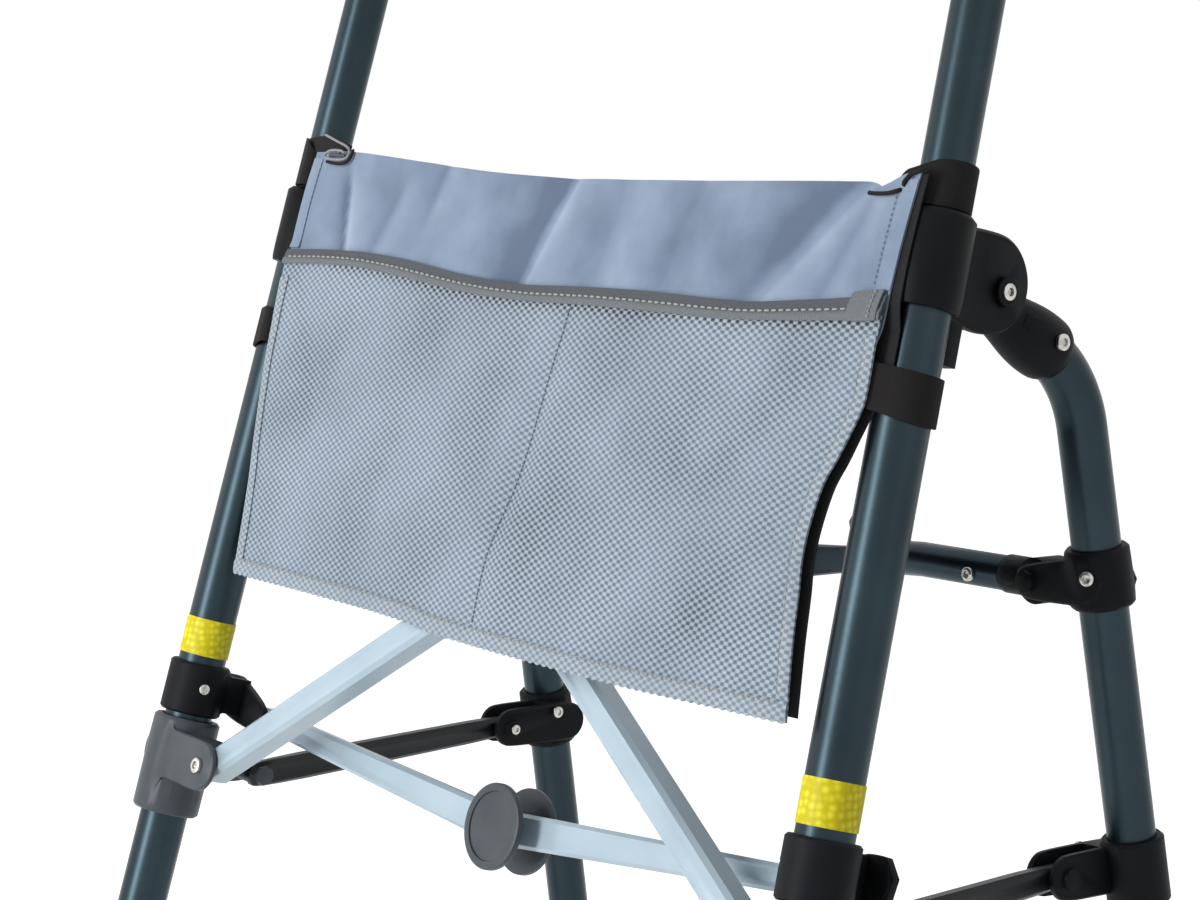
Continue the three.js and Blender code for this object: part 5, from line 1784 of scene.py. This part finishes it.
@dataclass
class Straps:
    """The webbing that ties the bag to the legs, above and below the hinge clamps.

    A strap's row is its radius round the leg, the point on the bag that it goes round (towards the bag and
    back), and its lower and upper edges, each as pairs of a place towards the bag and a level, all in mm.
    """

    wardrobe: Wardrobe
    thickness: float = 1.8 * MM
    turn_steps: int = 40
    rises: int = 4
    lower: tuple = (14.8, (9, -15.5), ((-17, 86.5), (17, 93)),
                    ((-17, 110.5), (6, 113), (14, 112.2), (19, 112)))
    upper: tuple = (13.3, (8, -14.0), ((-15, 189), (15, 189)))
    upper_left: tuple = ((-15, 212), (-6, 210.5), (2, 207.5), (6, 205), (9, 201), (12, 195.5), (17, 191))
    upper_right: tuple = ((-15, 219), (-6, 218.5), (2, 217), (8, 214), (13, 208), (17, 203))
    tail_mm: float = 4.0

    def outline(self, radius: float, tail: Vector, tail_radius: float) -> list[Vector]:
        """The way of a strap round a tube and a point on the bag, as a closed loop.

        Args:
            radius: Round the tube at the origin.
            tail: The other point that it goes round.
            tail_radius: Round that point.

        Returns:
            The loop's points in the XY plane.
        """
        heading = math.atan2(tail.y, tail.x)
        lean = math.acos((radius - tail_radius) / tail.length)
        steps = self.turn_steps
        far = [tail + Vector((math.cos(a), math.sin(a), 0)) * tail_radius
               for a in (heading - lean + 2 * lean * i / steps for i in range(steps + 1))]
        near = [Vector((math.cos(a), math.sin(a), 0)) * radius
                for a in (heading + lean + (math.tau - 2 * lean) * i / steps for i in range(steps + 1))]
        return far + near

    def loop(self, name: str, outline: list[Vector], low: tuple, high: tuple, towards: float) -> Object:
        """A strap of webbing that follows a closed line.

        Args:
            name: The piece's name.
            outline: The closed line.
            low: Its lower edge, as pairs of a place towards the bag and a level, in mm.
            high: Its upper edge, in the same way.
            towards: The way from the leg to the bag, 1 or -1 along X.

        Returns:
            The strap.
        """
        select_only()
        bpy.ops.mesh.primitive_circle_add(vertices=len(outline), radius=1, fill_type="NOTHING")
        strap = name_piece(name)
        for vertex, spot in zip(strap.data.vertices, outline):
            vertex.co = spot
        with editing(strap):
            for _ in range(self.rises):
                bpy.ops.mesh.extrude_region_move(TRANSFORM_OT_translate={"value": (0, 0, 1 / self.rises)})
        for vertex in strap.data.vertices:
            inward = vertex.co.x * towards / MM
            share = vertex.co.z
            vertex.co.z = ((1 - share) * curve(low, inward) + share * curve(high, inward)) * MM
        layer = strap.data.uv_layers.new(name="cloth")
        lengths = [0.0]
        for a, b in zip(outline, outline[1:]):
            lengths.append(lengths[-1] + (b - a).length)
        for loop in strap.data.loops:
            index = loop.vertex_index
            layer.data[loop.index].uv = (lengths[index % len(outline)], strap.data.vertices[index].co.z)
        recalculate(strap, 1e-7)
        finish_with(strap, "SOLIDIFY", thickness=self.thickness, offset=1)
        ease_edges(strap, 0.5 * MM, 50)
        return smooth(strap, 40)

    def fasten(self, side: Side, word: str, radius_mm: float, tail_mm: tuple, low: tuple,
               high: tuple) -> Object:
        """Puts one strap on its leg.

        Args:
            side: The leg.
            word: Which strap, as node names say it.
            radius_mm: Its radius round the leg.
            tail_mm: The point on the bag that it goes round.
            low: Its lower edge.
            high: Its upper edge.

        Returns:
            The strap.
        """
        inward = -side.value
        tail = Vector((inward * tail_mm[0] * MM, tail_mm[1] * MM, 0))
        outline = self.outline(radius_mm * MM, tail, self.tail_mm * MM)
        strap = self.loop(f"{side.word}_{word}_webbing", outline, low, high, inward)
        place(strap, STANCE.leg(side))
        dress(strap, self.wardrobe.webbing, "webbing", f"{side.word}_side")
        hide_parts(f"{side.word}_{word}_strap")
        return strap

    def build(self) -> list[Object]:
        """Makes the four straps.

        Returns:
            The straps.
        """
        straps = []
        for side in Side:
            upper_edge = self.upper_left if side is Side.LEFT else self.upper_right
            straps.append(self.fasten(side, "lower", *self.lower))
            straps.append(self.fasten(side, "upper", *self.upper, upper_edge))
        return straps


# Studio


@dataclass
class Studio:
    """The floor, the lamps, the white surroundings and the camera."""

    lens_mm: float = 87.4
    camera_at: tuple = (1.23885, -0.98077, 0.71136)
    azimuth: float = math.radians(51.751)
    pitch: float = math.radians(5.575)
    roll: float = math.radians(1.031)
    sensor_mm: float = 36
    floor_size: float = 30
    floor_glow: float = 0.72
    light_level: float = 0.32
    lamps: tuple = (
        ("key_lamp", (-0.35, -2.4, 1.0), (0, 0, 0.6), (0.62, 1.9), 50),
        ("side_lamp", (-2.0, -1.3, 1.2), (0, 0, 0.55), (0.9, 1.2), 4),
        ("fill_lamp", (2.4, 0.2, 1.4), (0, 0, 0.5), (1.6, 1.6), 2),
        ("top_lamp", (0.2, 0.3, 2.6), (0, 0, 0.4), (1.8, 1.8), 6))

    def camera(self) -> None:
        """Sets the camera where the photograph was taken from."""
        sin, cos = math.sin, math.cos
        forward = Vector((-sin(self.azimuth) * cos(self.pitch), cos(self.azimuth) * cos(self.pitch),
                          -sin(self.pitch)))
        level = Vector((cos(self.azimuth), sin(self.azimuth), 0))
        upward = level.cross(forward)
        right = cos(self.roll) * level + sin(self.roll) * upward
        up = cos(self.roll) * upward - sin(self.roll) * level
        select_only()
        bpy.ops.object.camera_add()
        camera = bpy.context.object
        camera.name = "camera"
        turn = Matrix((right, up, -forward)).transposed().to_4x4()
        camera.matrix_world = Matrix.Translation(self.camera_at) @ turn
        camera.data.lens = self.lens_mm
        camera.data.sensor_width = self.sensor_mm
        camera.data.clip_end = 50
        bpy.context.scene.camera = camera

    def floor(self) -> None:
        """A pale plain floor that keeps the walker's shadow."""
        select_only()
        bpy.ops.mesh.primitive_plane_add(size=self.floor_size, location=(0, 0, 0))
        floor = name_piece("studio_floor")
        # Matt white paint: it looks as white as the surroundings, and keeps the walker's shadow.
        mat, tree = start_material("matt_white_paint")
        path = add_node(tree, "ShaderNodeLightPath")
        seen = add_node(tree, "ShaderNodeMath", {
            0: path.outputs["Is Camera Ray"], 1: path.outputs["Is Glossy Ray"]}, operation="MAXIMUM")
        glow = add_node(tree, "ShaderNodeMath", {
            0: seen.outputs[0], 1: self.floor_glow}, operation="MULTIPLY")
        shade(tree, {"Base Color": linear("f2f2f2"), "Roughness": 0.9, "Emission Color": (1, 1, 1, 1),
                     "Emission Strength": glow.outputs[0]})
        floor.data.materials.append(mat)

    def surroundings(self) -> None:
        """White behind the walker, and a plain even light from all round."""
        world = bpy.context.scene.world or bpy.data.worlds.new("studio")
        bpy.context.scene.world = world
        world.use_nodes = True
        tree = world.node_tree
        tree.nodes.clear()
        path = add_node(tree, "ShaderNodeLightPath")
        seen = add_node(tree, "ShaderNodeMath", {
            0: path.outputs["Is Camera Ray"], 1: path.outputs["Is Transmission Ray"]}, operation="MAXIMUM")
        seen = add_node(tree, "ShaderNodeMath", {
            0: seen.outputs[0], 1: path.outputs["Is Glossy Ray"]}, operation="MAXIMUM")
        level = add_node(tree, "ShaderNodeMapRange", {
            "Value": seen.outputs[0], "To Min": self.light_level, "To Max": 1.0})
        sky = add_node(tree, "ShaderNodeBackground", {
            "Color": (1, 1, 1, 1), "Strength": level.outputs["Result"]})
        add_node(tree, "ShaderNodeOutputWorld", {"Surface": sky.outputs["Background"]})

    def lamp(self, name: str, at: tuple, aim: tuple, size: tuple[float, float], power: float) -> None:
        """A soft lamp, a flat panel that stands upright and faces its aim.

        Args:
            name: Its name.
            at: Where it stands.
            aim: What it points at.
            size: Its width and height.
            power: In watts.
        """
        select_only()
        bpy.ops.object.light_add(type="AREA", location=at)
        lamp = bpy.context.object
        lamp.name = name
        lamp.data.shape = "RECTANGLE"
        lamp.data.size, lamp.data.size_y = size
        lamp.data.energy = power
        way = Vector(aim) - Vector(at)
        lamp.rotation_euler = way.to_track_quat("-Z", "Y").to_euler()

    def build(self) -> None:
        """Sets up the studio."""
        self.camera()
        self.floor()
        self.surroundings()
        for row in self.lamps:
            self.lamp(*row)
        bpy.context.scene.view_settings.view_transform = "Standard"


def main() -> None:
    """Builds the studio and every piece of the walker."""
    Studio().build()
    wardrobe = Wardrobe()
    for maker in (MouldedParts, Tubing, Fasteners, Straps, Bag):
        for piece in maker(wardrobe).build():
            log.info("%s: %s, %d faces", maker.__name__, piece.name, len(piece.data.polygons))


if __name__ == "__main__":
    main()
